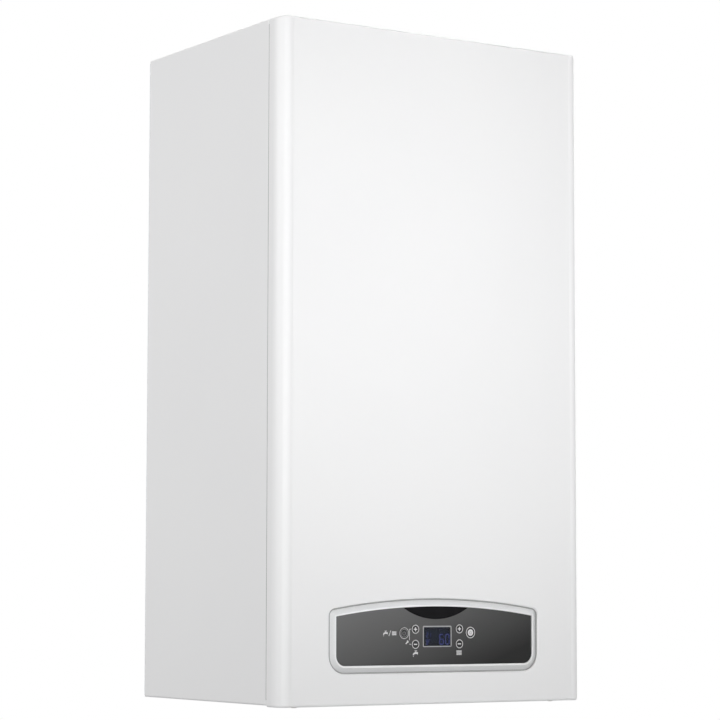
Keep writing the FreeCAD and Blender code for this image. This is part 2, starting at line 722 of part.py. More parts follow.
def top_plate():
    half = HALF - SHEET - SIDE_EDGE_RADIUS - PLATE_GAP
    back = FRAME_FACE_Y - SHEET - PLATE_GAP
    sheet = box(-half, half, TOP_FRONT_Y, back, CHAMBER_TOP, TOP_PLATE_Z)
    flange_half = RIB_INNER_X - FLANGE_SIDE_GAP
    flange_low = CHAMBER_TOP - TOP_FLANGE
    rear = box(-flange_half, flange_half, FRAME_FACE_Y - FRAME_SHEET, FRAME_FACE_Y, flange_low, TOP_PLATE_Z)
    link = box(-flange_half, flange_half, back - OVERRUN, FRAME_FACE_Y, CHAMBER_TOP, TOP_PLATE_Z)
    front = box(-flange_half, flange_half, TOP_FRONT_Y, TOP_FRONT_Y + FRAME_SHEET, flange_low, TOP_PLATE_Z)
    return take(join(sheet, link, rear, front), *top_openings(), *screw_shanks())


def top_openings():
    """Round openings of the flue and of the two air intakes."""
    low = CHAMBER_TOP - OVERRUN
    high = TOP_PLATE_Z + OVERRUN
    flue = bar_z(COLLAR_RADIUS - COLLAR_WALL, low, high, 0, FLUE_Y)
    return [flue] + both_sides(bar_z(INTAKE_RADIUS, low, high, INTAKE_X, FLUE_Y))


def casing_catches():
    """Two bent spring tongues that hold up the casing's top edge."""
    top = HEIGHT - SHEET - REST_GAP
    low = top - FRAME_SHEET
    x0 = CATCH_X - CATCH_WIDTH / 2
    x1 = CATCH_X + CATCH_WIDTH / 2
    back = TOP_FRONT_Y
    tab = box(x0, x1, back - FRAME_SHEET, back, CHAMBER_TOP - CATCH_TAB, top)
    tongue = box(x0, x1, RETURN_Y - CATCH_REACH, back, low, top)
    return Part.makeCompound(both_sides(join(tab, tongue)))


def bottom_plate():
    back = FRAME_FACE_Y - FRAME_SHEET
    half = RIB_INNER_X
    sheet = box(-half, half, BOTTOM_FRONT_Y, back, PLATE_LOW, CONNECTION_RECESS)
    side = box(half - FRAME_SHEET, half, BOTTOM_FRONT_Y, back, PLATE_LOW, CONNECTION_RECESS + BOTTOM_FLANGE)
    flange_half = half - FLANGE_SIDE_GAP
    rear = box(-flange_half, flange_half, back, FRAME_FACE_Y, PLATE_LOW, CONNECTION_RECESS + BOTTOM_FLANGE)
    low = PLATE_LOW - OVERRUN
    high = CONNECTION_RECESS + OVERRUN
    holes = [bar_z(radius + HOLE_CLEARANCE, low, high, x, CONNECTION_Y) for x, radius in CONNECTIONS]
    holes.append(bar_z(GAUGE_RADIUS, low, high, GAUGE_X, GAUGE_Y))
    holes.append(bar_z(GLAND_RADIUS, low, high, GLAND_X, GLAND_Y))
    holes.append(bar_z(TAP_STEM_RADIUS + HOLE_CLEARANCE, low, high, TAP_X, CONNECTION_Y))
    return take(join(sheet, rear, *both_sides(side)), *holes, *screw_shanks())


def casing_outline(inset, rear_y, z):
    """Casing in plan: each side bends wide, then tight, into a roll that stands proud and fades into the front."""
    turn = math.radians(SIDE_BEND_TURN)
    quarter = math.pi / 2
    wide_x = HALF - SIDE_BEND_RADIUS
    tight_x = wide_x + (SIDE_BEND_RADIUS - CORNER_RADIUS) * math.cos(turn)
    tight_y = FRONT_Y - EDGE_ROLL + CORNER_RADIUS
    wide_y = tight_y + (SIDE_BEND_RADIUS - CORNER_RADIUS) * math.sin(turn)
    reach = CORNER_RADIUS + ROLL_FADE_RADIUS
    lean = math.acos((reach - EDGE_ROLL) / reach)
    fade_x = tight_x - reach * math.sin(lean)
    bends = [
        (wide_x, wide_y, SIDE_BEND_RADIUS - inset, 0, -turn),
        (tight_x, tight_y, CORNER_RADIUS - inset, -turn, -quarter - lean),
        (fade_x, FRONT_Y - ROLL_FADE_RADIUS, ROLL_FADE_RADIUS + inset, quarter - lean, quarter),
    ]

    def arc(x, y, size, start, end):
        ends = [start, (start + end) / 2, end]
        points = [Vector(x + size * math.cos(a), y + size * math.sin(a), z) for a in ends]
        return Part.Arc(*points).toShape()

    def line(x0, y0, x1, y1):
        return Part.LineSegment(Vector(x0, y0, z), Vector(x1, y1, z)).toShape()

    side = HALF - inset
    front = FRONT_Y + inset
    right = [arc(*bend) for bend in bends]
    left = [arc(-x, y, size, math.pi - end, math.pi - start) for x, y, size, start, end in reversed(bends)]
    return Part.Wire(
        [line(side, rear_y, side, wide_y)] + right
        + [line(fade_x, front, -fade_x, front)] + left
        + [line(-side, wide_y, -side, rear_y), line(-side, rear_y, side, rear_y)]
    )


def casing_block(inset, rear_y):
    """The casing's outer form as a solid, drawn in by the inset on each closed side."""
    low = inset
    high = HEIGHT - inset
    block = Part.Face(casing_outline(inset, rear_y, low)).extrude(Vector(0, 0, high - low))
    return rounded(
        block,
        EDGE_RADIUS - inset,
        lambda e: (lies_at(e, "z", low) or lies_at(e, "z", high)) and not lies_at(e, "y", rear_y),
    )


def front_casing():
    """Pressed tray with a lipped opening for the control panel and slots for its lower screws."""
    shell = casing_block(0, RETURN_Y).cut(casing_block(SHEET, RETURN_Y + OVERRUN))
    lip = panel_solid(-CUTOUT_GAP - SHEET, FRONT_Y, FRONT_Y + CUTOUT_LIP)
    opening = panel_solid(-CUTOUT_GAP, FRONT_Y - OVERRUN, FRONT_Y + CUTOUT_LIP + OVERRUN)
    casing = take(join(shell, lip), opening)
    reach = PANEL_HALF + CUTOUT_GAP + NEAR
    casing = rounded(
        casing,
        CUTOUT_EDGE_RADIUS,
        lambda e: lies_at(e, "y", FRONT_Y) and e.BoundBox.XMax < reach and e.BoundBox.XMin > -reach,
    )
    slot_half = SCREW_RADIUS + SLOT_CLEARANCE
    round_end = bar_z(slot_half, -OVERRUN, SHEET + OVERRUN, CASING_SCREW_X, CASING_SCREW_Y)
    straight = box(
        CASING_SCREW_X - slot_half, CASING_SCREW_X + slot_half,
        CASING_SCREW_Y, RETURN_Y + OVERRUN,
        -OVERRUN, SHEET + OVERRUN,
    )
    return take(casing, *both_sides(join(round_end, straight)))


def screw(head, tip, head_thickness=SCREW_HEAD):
    """Pan-head screw from the seat of its head to its tip; returns head and shank."""
    out = (head - tip).normalize()
    cap = rod(SCREW_HEAD_RADIUS, head, head + out * head_thickness)
    return cap, rod(SCREW_RADIUS, head, tip)


def screw_places():
    """Head seat and tip of every sheet screw that holds the frame, panels and chamber together."""
    places = []
    flange_x = HALF - SIDE_FLANGE / 2
    for side_sign in (-1, 1):
        for share in SIDE_SCREW_HEIGHT_SHARES:
            height = HEIGHT * share
            seat = Vector(side_sign * flange_x, FRAME_FACE_Y - SHEET, height)
            places.append((seat, Vector(seat.x, 0, height)))
        for share in TOP_SCREW_DEPTH_SHARES:
            seat = Vector(side_sign * flange_x, TOP_FRONT_Y * share, HEIGHT)
            places.append((seat, seat - Vector(0, 0, SHEET + FRAME_SHEET + SCREW_REACH)))
        rib_y = FRAME_FACE_Y - (RIB_DEPTH + CHAMBER_REAR_STOP) / 2
        for height in (CONNECTION_RECESS + BOTTOM_FLANGE / 2, (CHAMBER_BOTTOM + CHAMBER_TOP) / 2):
            seat = Vector(side_sign * RIB_OUTER_X, rib_y, height)
            places.append((seat, seat - Vector(side_sign * (2 * FRAME_SHEET + SCREW_REACH), 0, 0)))
        edge_x = CHAMBER_HALF - CHAMBER_LIP / 2
        for share in COVER_SCREW_HEIGHT_SHARES:
            height = CHAMBER_BOTTOM + (CHAMBER_TOP - CHAMBER_BOTTOM) * share
            seat = Vector(side_sign * edge_x, COVER_Y - SHEET, height)
            places.append((seat, Vector(seat.x, CHAMBER_FRONT_Y + SHEET, height)))
    return places


def casing_screw_places():
    """Seat and tip of the two screws under the casing's lower edge."""
    seats = [Vector(sign * CASING_SCREW_X, CASING_SCREW_Y, -REST_GAP) for sign in (-1, 1)]
    return [(seat, seat + Vector(0, 0, CASING_SCREW_TIP)) for seat in seats]


def screw_shanks():
    """Shanks of all sheet screws, which cut their own holes in what they hold."""
    return [rod(SCREW_RADIUS, seat, tip) for seat, tip in screw_places() + casing_screw_places()]


def sheet_screws():
    solids = [join(*screw(seat, tip)) for seat, tip in screw_places()]
    solids += [join(*screw(seat, tip, CASING_SCREW_HEAD)) for seat, tip in casing_screw_places()]
    return Part.makeCompound(solids)


def flue_collar():
    """Base plate and, welded onto it, the ring that takes the outer pipe of the flue."""
    base_half = COLLAR_BASE / 2
    top = TOP_PLATE_Z + COLLAR_BASE_THICKNESS
    end = top + COLLAR_RISE
    base = box(-base_half, base_half, FLUE_Y - base_half, FLUE_Y + base_half, TOP_PLATE_Z, top)
    base = rounded(base, COLLAR_BASE_CORNER, along("z"))
    bore = bar_z(COLLAR_RADIUS - COLLAR_WALL, TOP_PLATE_Z - OVERRUN, end + OVERRUN, 0, FLUE_Y)
    ring = bar_z(COLLAR_RADIUS, top, end, 0, FLUE_Y)
    return Part.makeCompound([take(base, bore), take(ring, bore)])


def air_intake_caps():
    """Blanking caps, each a disc with a rim, over the unused air intakes."""
    disc = bar_z(CAP_RADIUS, TOP_PLATE_Z, TOP_PLATE_Z + CAP_THICKNESS, INTAKE_X, FLUE_Y)
    boss = bar_z(INTAKE_RADIUS, TOP_PLATE_Z, TOP_PLATE_Z + CAP_THICKNESS + CAP_RIM, INTAKE_X, FLUE_Y)
    hollow = bar_z(
        INTAKE_RADIUS - CAP_THICKNESS, TOP_PLATE_Z - OVERRUN, TOP_PLATE_Z + CAP_RIM, INTAKE_X, FLUE_Y
    )
    return Part.makeCompound(both_sides(take(join(disc, boss), hollow)))


# Control panel


def arch_radius():
    """Radius of the panel's arched top."""
    rise = PANEL_APEX - PANEL_SHOULDER
    return (PANEL_HALF ** 2 + rise ** 2) / (2 * rise)


def panel_outline(inset, y):
    """Panel outline in the plane Y = y: flat foot, upright sides and an arched top, drawn in by the inset."""
    half = PANEL_HALF - inset
    foot = PANEL_BOTTOM + inset
    low = max(PANEL_LOW_RADIUS - inset, PANEL_SMALL_RADIUS)
    top = max(PANEL_TOP_RADIUS - inset, PANEL_SMALL_RADIUS)
    arch_z = PANEL_APEX - arch_radius()
    radius = arch_radius() - inset
    turn_x = half - top
    turn_z = arch_z + math.sqrt((radius - top) ** 2 - turn_x ** 2)
    lean = math.atan2(turn_z - arch_z, turn_x)

    def arc(x, z, size, start, end):
        ends = [start, (start + end) / 2, end]
        points = [Vector(x + size * math.cos(a), y, z + size * math.sin(a)) for a in ends]
        return Part.Arc(*points).toShape()

    def line(x0, z0, x1, z1):
        return Part.LineSegment(Vector(x0, y, z0), Vector(x1, y, z1)).toShape()

    quarter = math.pi / 2
    return Part.Wire([
        line(low - half, foot, half - low, foot),
        arc(half - low, foot + low, low, -quarter, 0),
        line(half, foot + low, half, turn_z),
        arc(turn_x, turn_z, top, 0, lean),
        arc(0, arch_z, radius, lean, math.pi - lean),
        arc(-turn_x, turn_z, top, math.pi - lean, math.pi),
        line(-half, turn_z, -half, foot + low),
        arc(low - half, foot + low, low, math.pi, math.pi + quarter),
    ])


def panel_solid(inset, y0, y1):
    return Part.Face(panel_outline(inset, y0)).extrude(Vector(0, y1 - y0, 0))


def control_bezel():
    """Sloping frame around the fascia, with a ledge behind it."""
    foot = panel_solid(0, BEZEL_EDGE_Y, HOUSING_Y)
    slope = Part.makeLoft(
        [panel_outline(0, BEZEL_EDGE_Y), panel_outline(BEZEL_SLOPE, BEZEL_CREST_Y)], True, True
    )
    pocket = panel_solid(BEZEL_BAND, BEZEL_CREST_Y - OVERRUN, FASCIA_BACK_Y)
    through = panel_solid(BEZEL_BAND + BEZEL_LEDGE, BEZEL_CREST_Y - OVERRUN, HOUSING_Y + OVERRUN)
    return take(foot.fuse(slope), pocket, through)


def display_box(y0, y1):
    half = DISPLAY_WIDTH / 2
    rise = DISPLAY_HEIGHT / 2
    return box(DISPLAY_X - half, DISPLAY_X + half, y0, y1, DISPLAY_Z - rise, DISPLAY_Z + rise)


def control_fascia():
    plate = panel_solid(BEZEL_BAND + FASCIA_GAP, FASCIA_Y, FASCIA_BACK_Y)
    holes = [
        bar_y(radius + BUTTON_GAP, FASCIA_Y - OVERRUN, FASCIA_BACK_Y + OVERRUN, x, z)
        for x, z, radius in BUTTONS.values()
    ]
    return take(plate, display_box(FASCIA_Y - OVERRUN, FASCIA_BACK_Y + OVERRUN), *holes)


def badge_lens():
    """Black lens under the crown of the fascia, rounded below."""
    front = FASCIA_Y - LENS_THICKNESS
    inset = BEZEL_BAND + FASCIA_GAP
    arch = arch_radius() - inset
    crown = PANEL_APEX - inset
    corner = crown - arch + math.sqrt(arch ** 2 - LENS_HALF ** 2)
    drop = corner - LENS_BOTTOM
    radius = (LENS_HALF ** 2 + drop ** 2) / (2 * drop)
    disc = bar_y(radius, front, FASCIA_Y, 0, LENS_BOTTOM + radius)
    return disc.common(panel_solid(inset, front, FASCIA_Y))


def display_window():
    return display_box(FASCIA_Y + WINDOW_DROP, FASCIA_Y + WINDOW_DROP + WINDOW_THICKNESS)


def display_board():
    """Circuit board with the display module and one small switch behind each button."""
    back = DISPLAY_BOARD_Y + BOARD_THICKNESS
    board = box(
        -DISPLAY_BOARD_HALF, DISPLAY_BOARD_HALF,
        DISPLAY_BOARD_Y, back,
        DISPLAY_BOARD_LOW, DISPLAY_BOARD_HIGH,
    )
    module = display_box(FASCIA_Y + WINDOW_DROP + WINDOW_THICKNESS, DISPLAY_BOARD_Y)
    half = SWITCH_SIDE / 2
    switches = [
        box(x - half, x + half, DISPLAY_BOARD_Y - SWITCH_HEIGHT, DISPLAY_BOARD_Y, z - half, z + half)
        for x, z, radius in BUTTONS.values()
    ]
    return join(board, module, *switches)


def button(x, z, radius):
    """Push button: cap through the fascia, collar behind it and stem to its switch."""
    front = FASCIA_Y - BUTTON_PROUD
    collar_y = FASCIA_BACK_Y + BUTTON_GAP
    collar_back = collar_y + BUTTON_COLLAR_THICKNESS
    cap = bar_y(radius, front, collar_y, x, z)
    cap = rounded(cap, BUTTON_EDGE, lambda edge: lies_at(edge, "y", front))
    collar = bar_y(radius + BUTTON_COLLAR, collar_y, collar_back, x, z)
    tip = DISPLAY_BOARD_Y - SWITCH_HEIGHT - BUTTON_TRAVEL - SWITCH_REST
    stem = bar_y(BUTTON_STEM_RADIUS, collar_back, tip, x, z)
    return join(cap, collar, stem)


def cover_post_places():
    x = HOUSING_HALF - COVER_POST_INSET
    heights = (HOUSING_BOTTOM + COVER_POST_INSET, HOUSING_TOP - COVER_POST_INSET)
    return [(sign * x, z) for sign in (-1, 1) for z in heights]


def board_post_places(half, low, high):
    x = half - BOARD_POST_INSET
    heights = (low + BOARD_POST_INSET, high - BOARD_POST_INSET)
    return [(sign * x, z) for sign in (-1, 1) for z in heights]


def control_housing():
    """Moulded tray, open to the rear, that carries the panel and turns on two hinge pins."""
    front = HOUSING_Y
    outer = box(-HOUSING_HALF, HOUSING_HALF, front, HOUSING_BACK_Y, HOUSING_BOTTOM, HOUSING_TOP)
    outer = rounded(outer, HOUSING_CORNER, along("y"))
    inner = box(
        HOUSING_WALL - HOUSING_HALF, HOUSING_HALF - HOUSING_WALL,
        front + HOUSING_WALL, HOUSING_BACK_Y + OVERRUN,
        HOUSING_BOTTOM + HOUSING_WALL, HOUSING_TOP - HOUSING_WALL,
    )
    shell = take(outer, inner)
    inside = front + HOUSING_WALL
    posts = [
        bar_y(COVER_POST_RADIUS, HOUSING_BACK_Y - COVER_POST_LENGTH, HOUSING_BACK_Y, x, z)
        for x, z in cover_post_places()
    ]
    ties = [
        box(
            min(x, math.copysign(HOUSING_HALF - HOUSING_WALL, x)),
            max(x, math.copysign(HOUSING_HALF - HOUSING_WALL, x)),
            HOUSING_BACK_Y - COVER_POST_LENGTH, HOUSING_BACK_Y,
            z - SCREW_RADIUS, z + SCREW_RADIUS,
        )
        for x, z in cover_post_places()
    ]
    seats = [
        bar_y(BOARD_POST_RADIUS, inside, DISPLAY_BOARD_Y, x, z)
        for x, z in board_post_places(DISPLAY_BOARD_HALF, DISPLAY_BOARD_LOW, DISPLAY_BOARD_HIGH)
    ]
    boss_end = BRACKET_INNER_X - REST_GAP
    boss = bar_x(PIVOT_BOSS_RADIUS, HOUSING_HALF - PIVOT_BOSS_DEPTH, boss_end, PIVOT_Y, PIVOT_Z)
    body = join(shell, *posts, *ties, *seats, *both_sides(boss))
    bore = bar_x(
        PIN_RADIUS + RUNNING_CLEARANCE,
        HOUSING_HALF - PIVOT_BOSS_DEPTH - OVERRUN, boss_end + OVERRUN,
        PIVOT_Y, PIVOT_Z,
    )
    holes = [
        bar_y(radius + BUTTON_COLLAR + BUTTON_GAP, front - OVERRUN, inside + NEAR, x, z)
        for x, z, radius in BUTTONS.values()
    ]
    holes.append(display_box(front - OVERRUN, inside + NEAR))
    holes += [shank for head, shank in control_screw_solids()]
    return take(body, *both_sides(bore), *holes)


def control_screw_solids():
    """Head and shank of each screw through the control cover."""
    seats = [Vector(x, COVER_BACK_Y, z) for x, z in cover_post_places()]
    depth = Vector(0, HOUSING_WALL + COVER_POST_LENGTH / 2, 0)
    return [screw(seat, seat - depth) for seat in seats]


def control_screws():
    return Part.makeCompound([join(head, shank) for head, shank in control_screw_solids()])


def control_cover():
    """Flat rear cover with four posts for the main board."""
    plate = box(-HOUSING_HALF, HOUSING_HALF, HOUSING_BACK_Y, COVER_BACK_Y, HOUSING_BOTTOM, HOUSING_TOP)
    plate = rounded(plate, HOUSING_CORNER, along("y"))
    posts = [
        bar_y(BOARD_POST_RADIUS, MAIN_BOARD_Y, HOUSING_BACK_Y, x, z)
        for x, z in board_post_places(MAIN_BOARD_WIDTH / 2, MAIN_BOARD_LOW, MAIN_BOARD_HIGH)
    ]
    return take(join(plate, *posts), *[shank for head, shank in control_screw_solids()])


def main_board():
    """Control board with relays, smoothing capacitors and a row of connectors."""
    half = MAIN_BOARD_WIDTH / 2
    front = MAIN_BOARD_Y - BOARD_THICKNESS
    board = box(-half, half, front, MAIN_BOARD_Y, MAIN_BOARD_LOW, MAIN_BOARD_HIGH)
    middle = (MAIN_BOARD_LOW + MAIN_BOARD_HIGH) / 2
    pitch = RELAY_WIDTH * 3 / 2
    parts = []
    for index in range(3):
        x = -half + pitch * (index + 1)
        parts.append(box(
            x - RELAY_WIDTH / 2, x + RELAY_WIDTH / 2,
            front - RELAY_DEPTH, front,
            middle, middle + RELAY_HEIGHT,
        ))
    for index in range(2):
        x = half - 3 * CAPACITOR_RADIUS * (index + 1)
        parts.append(bar_y(CAPACITOR_RADIUS, front - RELAY_DEPTH, front, x, middle + CAPACITOR_RADIUS))
    row_low = MAIN_BOARD_LOW + CONNECTOR_HEIGHT / 2
    row_half = half - 2 * CONNECTOR_HEIGHT
    parts.append(box(-row_half, row_half, front - CONNECTOR_DEPTH, front, row_low, row_low + CONNECTOR_HEIGHT))
    return join(board, *parts)


def hinge_brackets():
    """Folded plates at both ends of the bottom plate, which carry the hinge pins and the casing screws."""
    low = SHEET + REST_GAP
    front = FRONT_Y + BRACKET_FRONT_SPACE
    plate = box(
        BRACKET_INNER_X, BRACKET_OUTER_X,
        front, BOTTOM_FRONT_Y - PLATE_GAP,
        low, BRACKET_HEIGHT,
    )
    tab = box(
        BRACKET_INNER_X, BRACKET_OUTER_X,
        BOTTOM_FRONT_Y - FRAME_SHEET, BOTTOM_FRONT_Y + BRACKET_TAB,
        CONNECTION_RECESS, BRACKET_HEIGHT,
    )
    foot = box(
        BRACKET_INNER_X - BRACKET_FOOT_WIDTH, BRACKET_OUTER_X,
        front, front + BRACKET_FOOT_DEPTH,
        low, low + BRACKET_SHEET,
    )
    pin_hole = bar_x(PIN_RADIUS, BRACKET_INNER_X - OVERRUN, BRACKET_OUTER_X + OVERRUN, PIVOT_Y, PIVOT_Z)
    seat = Vector(CASING_SCREW_X, CASING_SCREW_Y, low - OVERRUN)
    screw_hole = rod(SCREW_RADIUS, seat, seat + Vector(0, 0, BRACKET_SHEET + 2 * OVERRUN))
    return Part.makeCompound(both_sides(take(join(plate, tab, foot), pin_hole, screw_hole)))


def hinge_pins():
    head = bar_x(PIN_HEAD_RADIUS, BRACKET_OUTER_X, BRACKET_OUTER_X + PIN_HEAD, PIVOT_Y, PIVOT_Z)
    inner = HOUSING_HALF - PIVOT_BOSS_DEPTH + PIN_SHORT
    shank = bar_x(PIN_RADIUS, inner, BRACKET_OUTER_X, PIVOT_Y, PIVOT_Z)
    return Part.makeCompound(both_sides(join(head, shank)))


# Expansion vessel and sealed chamber


def vessel_form(inset):
    """Flat vessel with round corners and rounded front edge, drawn in by the inset."""
    half = VESSEL_WIDTH / 2 - inset
    front = VESSEL_FRONT_Y + inset
    block = box(
        -half, half, front, FRAME_FACE_Y - inset, VESSEL_BOTTOM + inset, VESSEL_TOP - inset
    )
    block = rounded(block, VESSEL_CORNER - inset, along("y"))
    return rounded(block, VESSEL_EDGE - inset, lambda edge: lies_at(edge, "y", front))


def vessel_port():
    """Axis point of the vessel's connection on its lower face."""
    return Vector(VESSEL_PORT_X, (VESSEL_FRONT_Y + FRAME_FACE_Y) / 2 + VESSEL_EDGE / 2, VESSEL_BOTTOM)


def expansion_vessel():
    port = vessel_port()
    low = port - Vector(0, 0, VESSEL_PORT_LENGTH)
    inside = port + Vector(0, 0, VESSEL_WALL)
    body = join(vessel_form(0), rod(VESSEL_PORT_RADIUS, low, inside))
    bore = rod(VESSEL_PIPE_RADIUS - PIPE_WALL, low, inside + Vector(0, 0, OVERRUN))
    return take(body, vessel_form(VESSEL_WALL), bore)


def chamber_body():
    """Folded box, open to the front, whose long sides reach back to the frame's ribs."""
    half = CHAMBER_HALF
    inner = half - SHEET
    rear = FRAME_FACE_Y - CHAMBER_REAR_STOP
    outer = box(-half, half, CHAMBER_FRONT_Y, CHAMBER_BACK_Y, CHAMBER_BOTTOM, CHAMBER_TOP)
    hollow = box(
        -inner, inner,
        CHAMBER_FRONT_Y + SHEET, CHAMBER_BACK_Y - SHEET,
        CHAMBER_FLOOR, CHAMBER_TOP - SHEET,
    )
    mouth = box(
        CHAMBER_LIP - half, half - CHAMBER_LIP,
        CHAMBER_FRONT_Y - OVERRUN, CHAMBER_FRONT_Y + OVERRUN,
        CHAMBER_BOTTOM + CHAMBER_LIP, CHAMBER_TOP - CHAMBER_LIP,
    )
    wing = box(inner, half, CHAMBER_BACK_Y - SHEET, rear, CHAMBER_BOTTOM, CHAMBER_TOP - RIB_END)
    low = CHAMBER_BOTTOM - OVERRUN
    high = CHAMBER_FLOOR + OVERRUN
    heating = HEATING_PIPE_RADIUS + PIPE_HOLE_GAP
    pipe_holes = [
        bar_z(heating, low, high, -DROP_X, TUBE_FRONT_Y),
        bar_z(heating, low, high, DROP_X, TUBE_BACK_Y),
        bar_z(GAS_PIPE_RADIUS + PIPE_HOLE_GAP, low, high, 0, MANIFOLD_Y),
    ]
    body = join(take(outer, hollow, mouth), *both_sides(wing))
    return take(body, *pipe_holes, *top_openings(), *screw_shanks())


def chamber_seal():
    """Flat sealing frame on the chamber's front flange."""
    outer = box(
        -CHAMBER_HALF, CHAMBER_HALF, COVER_Y, CHAMBER_FRONT_Y, CHAMBER_BOTTOM, CHAMBER_TOP
    )
    mouth = box(
        SEAL_WIDTH - CHAMBER_HALF, CHAMBER_HALF - SEAL_WIDTH,
        COVER_Y - OVERRUN, CHAMBER_FRONT_Y + OVERRUN,
        CHAMBER_BOTTOM + SEAL_WIDTH, CHAMBER_TOP - SEAL_WIDTH,
    )
    return take(outer, mouth, *screw_shanks())


def upright_rectangle(inset, y):
    """Wire in the plane Y = y, drawn in from the chamber's outline."""
    x = CHAMBER_HALF - inset
    low = CHAMBER_BOTTOM + inset
    high = CHAMBER_TOP - inset
    corners = [Vector(-x, y, low), Vector(x, y, low), Vector(x, y, high), Vector(-x, y, high)]
    return Part.makePolygon(corners + corners[:1])


def chamber_cover():
    """Sheet cover with a raised field."""
    front = COVER_Y - SHEET
    sheet = box(-CHAMBER_HALF, CHAMBER_HALF, front, COVER_Y, CHAMBER_BOTTOM, CHAMBER_TOP)
    crest = front - COVER_SWAGE_RISE
    margin = COVER_SWAGE_MARGIN
    field = Part.makeLoft(
        [upright_rectangle(margin, front), upright_rectangle(margin + COVER_SWAGE_RISE, crest)], True, True
    )
    dish = Part.makeLoft(
        [
            upright_rectangle(margin, COVER_Y),
            upright_rectangle(margin + COVER_SWAGE_RISE, COVER_Y - COVER_SWAGE_RISE),
        ],
        True,
        True,
    )
    return take(join(sheet, field), dish, *screw_shanks())


# Burner


def stack_box(inset, z0, z1):
    """Box on the footprint of burner, combustion chamber and exchanger."""
    half = STACK_HALF - inset
    return box(-half, half, STACK_FRONT_Y + inset, STACK_BACK_Y - inset, z0, z1)


def ramp_places():
    first = -RAMP_PITCH * (RAMP_COUNT - 1) / 2
    return [first + RAMP_PITCH * index for index in range(RAMP_COUNT)]


def burner_tray():
    """Frame that carries the ramps; its sides stand on the chamber floor and hold the manifold."""
    low = CHAMBER_FLOOR + RAIL_LOW
    side = box(
        STACK_HALF - FRAME_SHEET, STACK_HALF,
        MANIFOLD_Y - MANIFOLD_RADIUS, STACK_BACK_Y,
        CHAMBER_FLOOR, BURNER_TOP,
    )
    front = box(-STACK_HALF, STACK_HALF, STACK_FRONT_Y, STACK_FRONT_Y + FRAME_SHEET, low, BURNER_TOP)
    back = box(-STACK_HALF, STACK_HALF, STACK_BACK_Y - FRAME_SHEET, STACK_BACK_Y, low, BURNER_TOP)
    mouths = [
        bar_y(INJECTOR_HEX_RADIUS, STACK_FRONT_Y - OVERRUN, STACK_FRONT_Y + OVERRUN, x, INJECTOR_Z)
        for x in ramp_places()
    ]
    return take(join(front, back, *both_sides(side)), *mouths)


def burner_ramp(x):
    """One burner blade: slotted head on a narrow stem with a gas mouth at the front."""
    front = STACK_FRONT_Y + FRAME_SHEET
    back = STACK_BACK_Y - FRAME_SHEET
    head_low = RAMP_TOP - RAMP_HEAD
    wide = RAMP_WIDTH / 2
    narrow = RAMP_STEM_WIDTH / 2
    foot = RAMP_TOP - RAMP_HEIGHT
    outline = [
        (x - narrow, foot), (x + narrow, foot), (x + narrow, head_low),
        (x + wide, head_low + wide - narrow), (x + wide, RAMP_TOP),
        (x - wide, RAMP_TOP), (x - wide, head_low + wide - narrow), (x - narrow, head_low),
    ]
    blade = prism(outline, front, back)
    step = (back - front) / (RAMP_SLOT_COUNT + 1)
    slots = [
        box(
            x - wide / 2, x + wide / 2,
            front + step * index - RAMP_SLOT / 2, front + step * index + RAMP_SLOT / 2,
            RAMP_TOP - RAMP_SLOT_DEPTH, RAMP_TOP + OVERRUN,
        )
        for index in range(1, RAMP_SLOT_COUNT + 1)
    ]
    mouth = bar_y(MOUTH_RADIUS, front - OVERRUN, front + MOUTH_DEPTH, x, INJECTOR_Z)
    return take(blade, mouth, *slots)


def burner_ramps():
    return Part.makeCompound([burner_ramp(x) for x in ramp_places()])


def gas_manifold():
    """Round manifold between the tray's sides, with one injector per ramp and an inlet below."""
    end = STACK_HALF - FRAME_SHEET
    tube = bar_x(MANIFOLD_RADIUS, -end, end, MANIFOLD_Y, INJECTOR_Z)
    bore = bar_x(
        MANIFOLD_RADIUS - MANIFOLD_WALL, MANIFOLD_WALL - end, end - MANIFOLD_WALL, MANIFOLD_Y, INJECTOR_Z
    )
    tip = STACK_FRONT_Y - INJECTOR_TIP_GAP
    shoulder = (MANIFOLD_Y + MANIFOLD_RADIUS + tip) / 2
    injectors = []
    for x in ramp_places():
        injectors.append(bar_y(INJECTOR_HEX_RADIUS, MANIFOLD_Y, shoulder, x, INJECTOR_Z))
        injectors.append(bar_y(INJECTOR_RADIUS, MANIFOLD_Y, tip, x, INJECTOR_Z))
    inlet = bar_z(GAS_PIPE_RADIUS, INJECTOR_Z - 2 * MANIFOLD_RADIUS, INJECTOR_Z, 0, MANIFOLD_Y)
    inlet_bore = bar_z(
        GAS_PIPE_RADIUS - PIPE_WALL, INJECTOR_Z - 2 * MANIFOLD_RADIUS - OVERRUN, INJECTOR_Z, 0, MANIFOLD_Y
    )
    jets = [bar_y(WIRE_RADIUS, MANIFOLD_Y, tip + OVERRUN, x, INJECTOR_Z) for x in ramp_places()]
    return take(join(tube, inlet, *injectors), bore, inlet_bore, *jets)


def electrode_places():
    return [STACK_WIDTH * share for share in ELECTRODE_X_SHARES]


def electrodes():
    """Ignition and sensing electrodes: ceramic sleeve, fixing plate and wire."""
    z = BURNER_TOP + ELECTRODE_RISE
    out = STACK_FRONT_Y - CERAMIC_LENGTH * CERAMIC_OUT_SHARE
    inside = out + CERAMIC_LENGTH
    half = ELECTRODE_PLATE / 2
    solids = []
    for x in electrode_places():
        sleeve = bar_y(CERAMIC_RADIUS, out, inside, x, z)
        wire = bar_y(WIRE_RADIUS, inside, inside + WIRE_LENGTH, x, z)
        plate = box(
            x - CERAMIC_RADIUS, x + CERAMIC_RADIUS,
            STACK_FRONT_Y - ELECTRODE_PLATE_THICKNESS, STACK_FRONT_Y,
            z - half / 2, z + half,
        )
        solids.append(join(sleeve, wire, plate))
    return Part.makeCompound(solids)


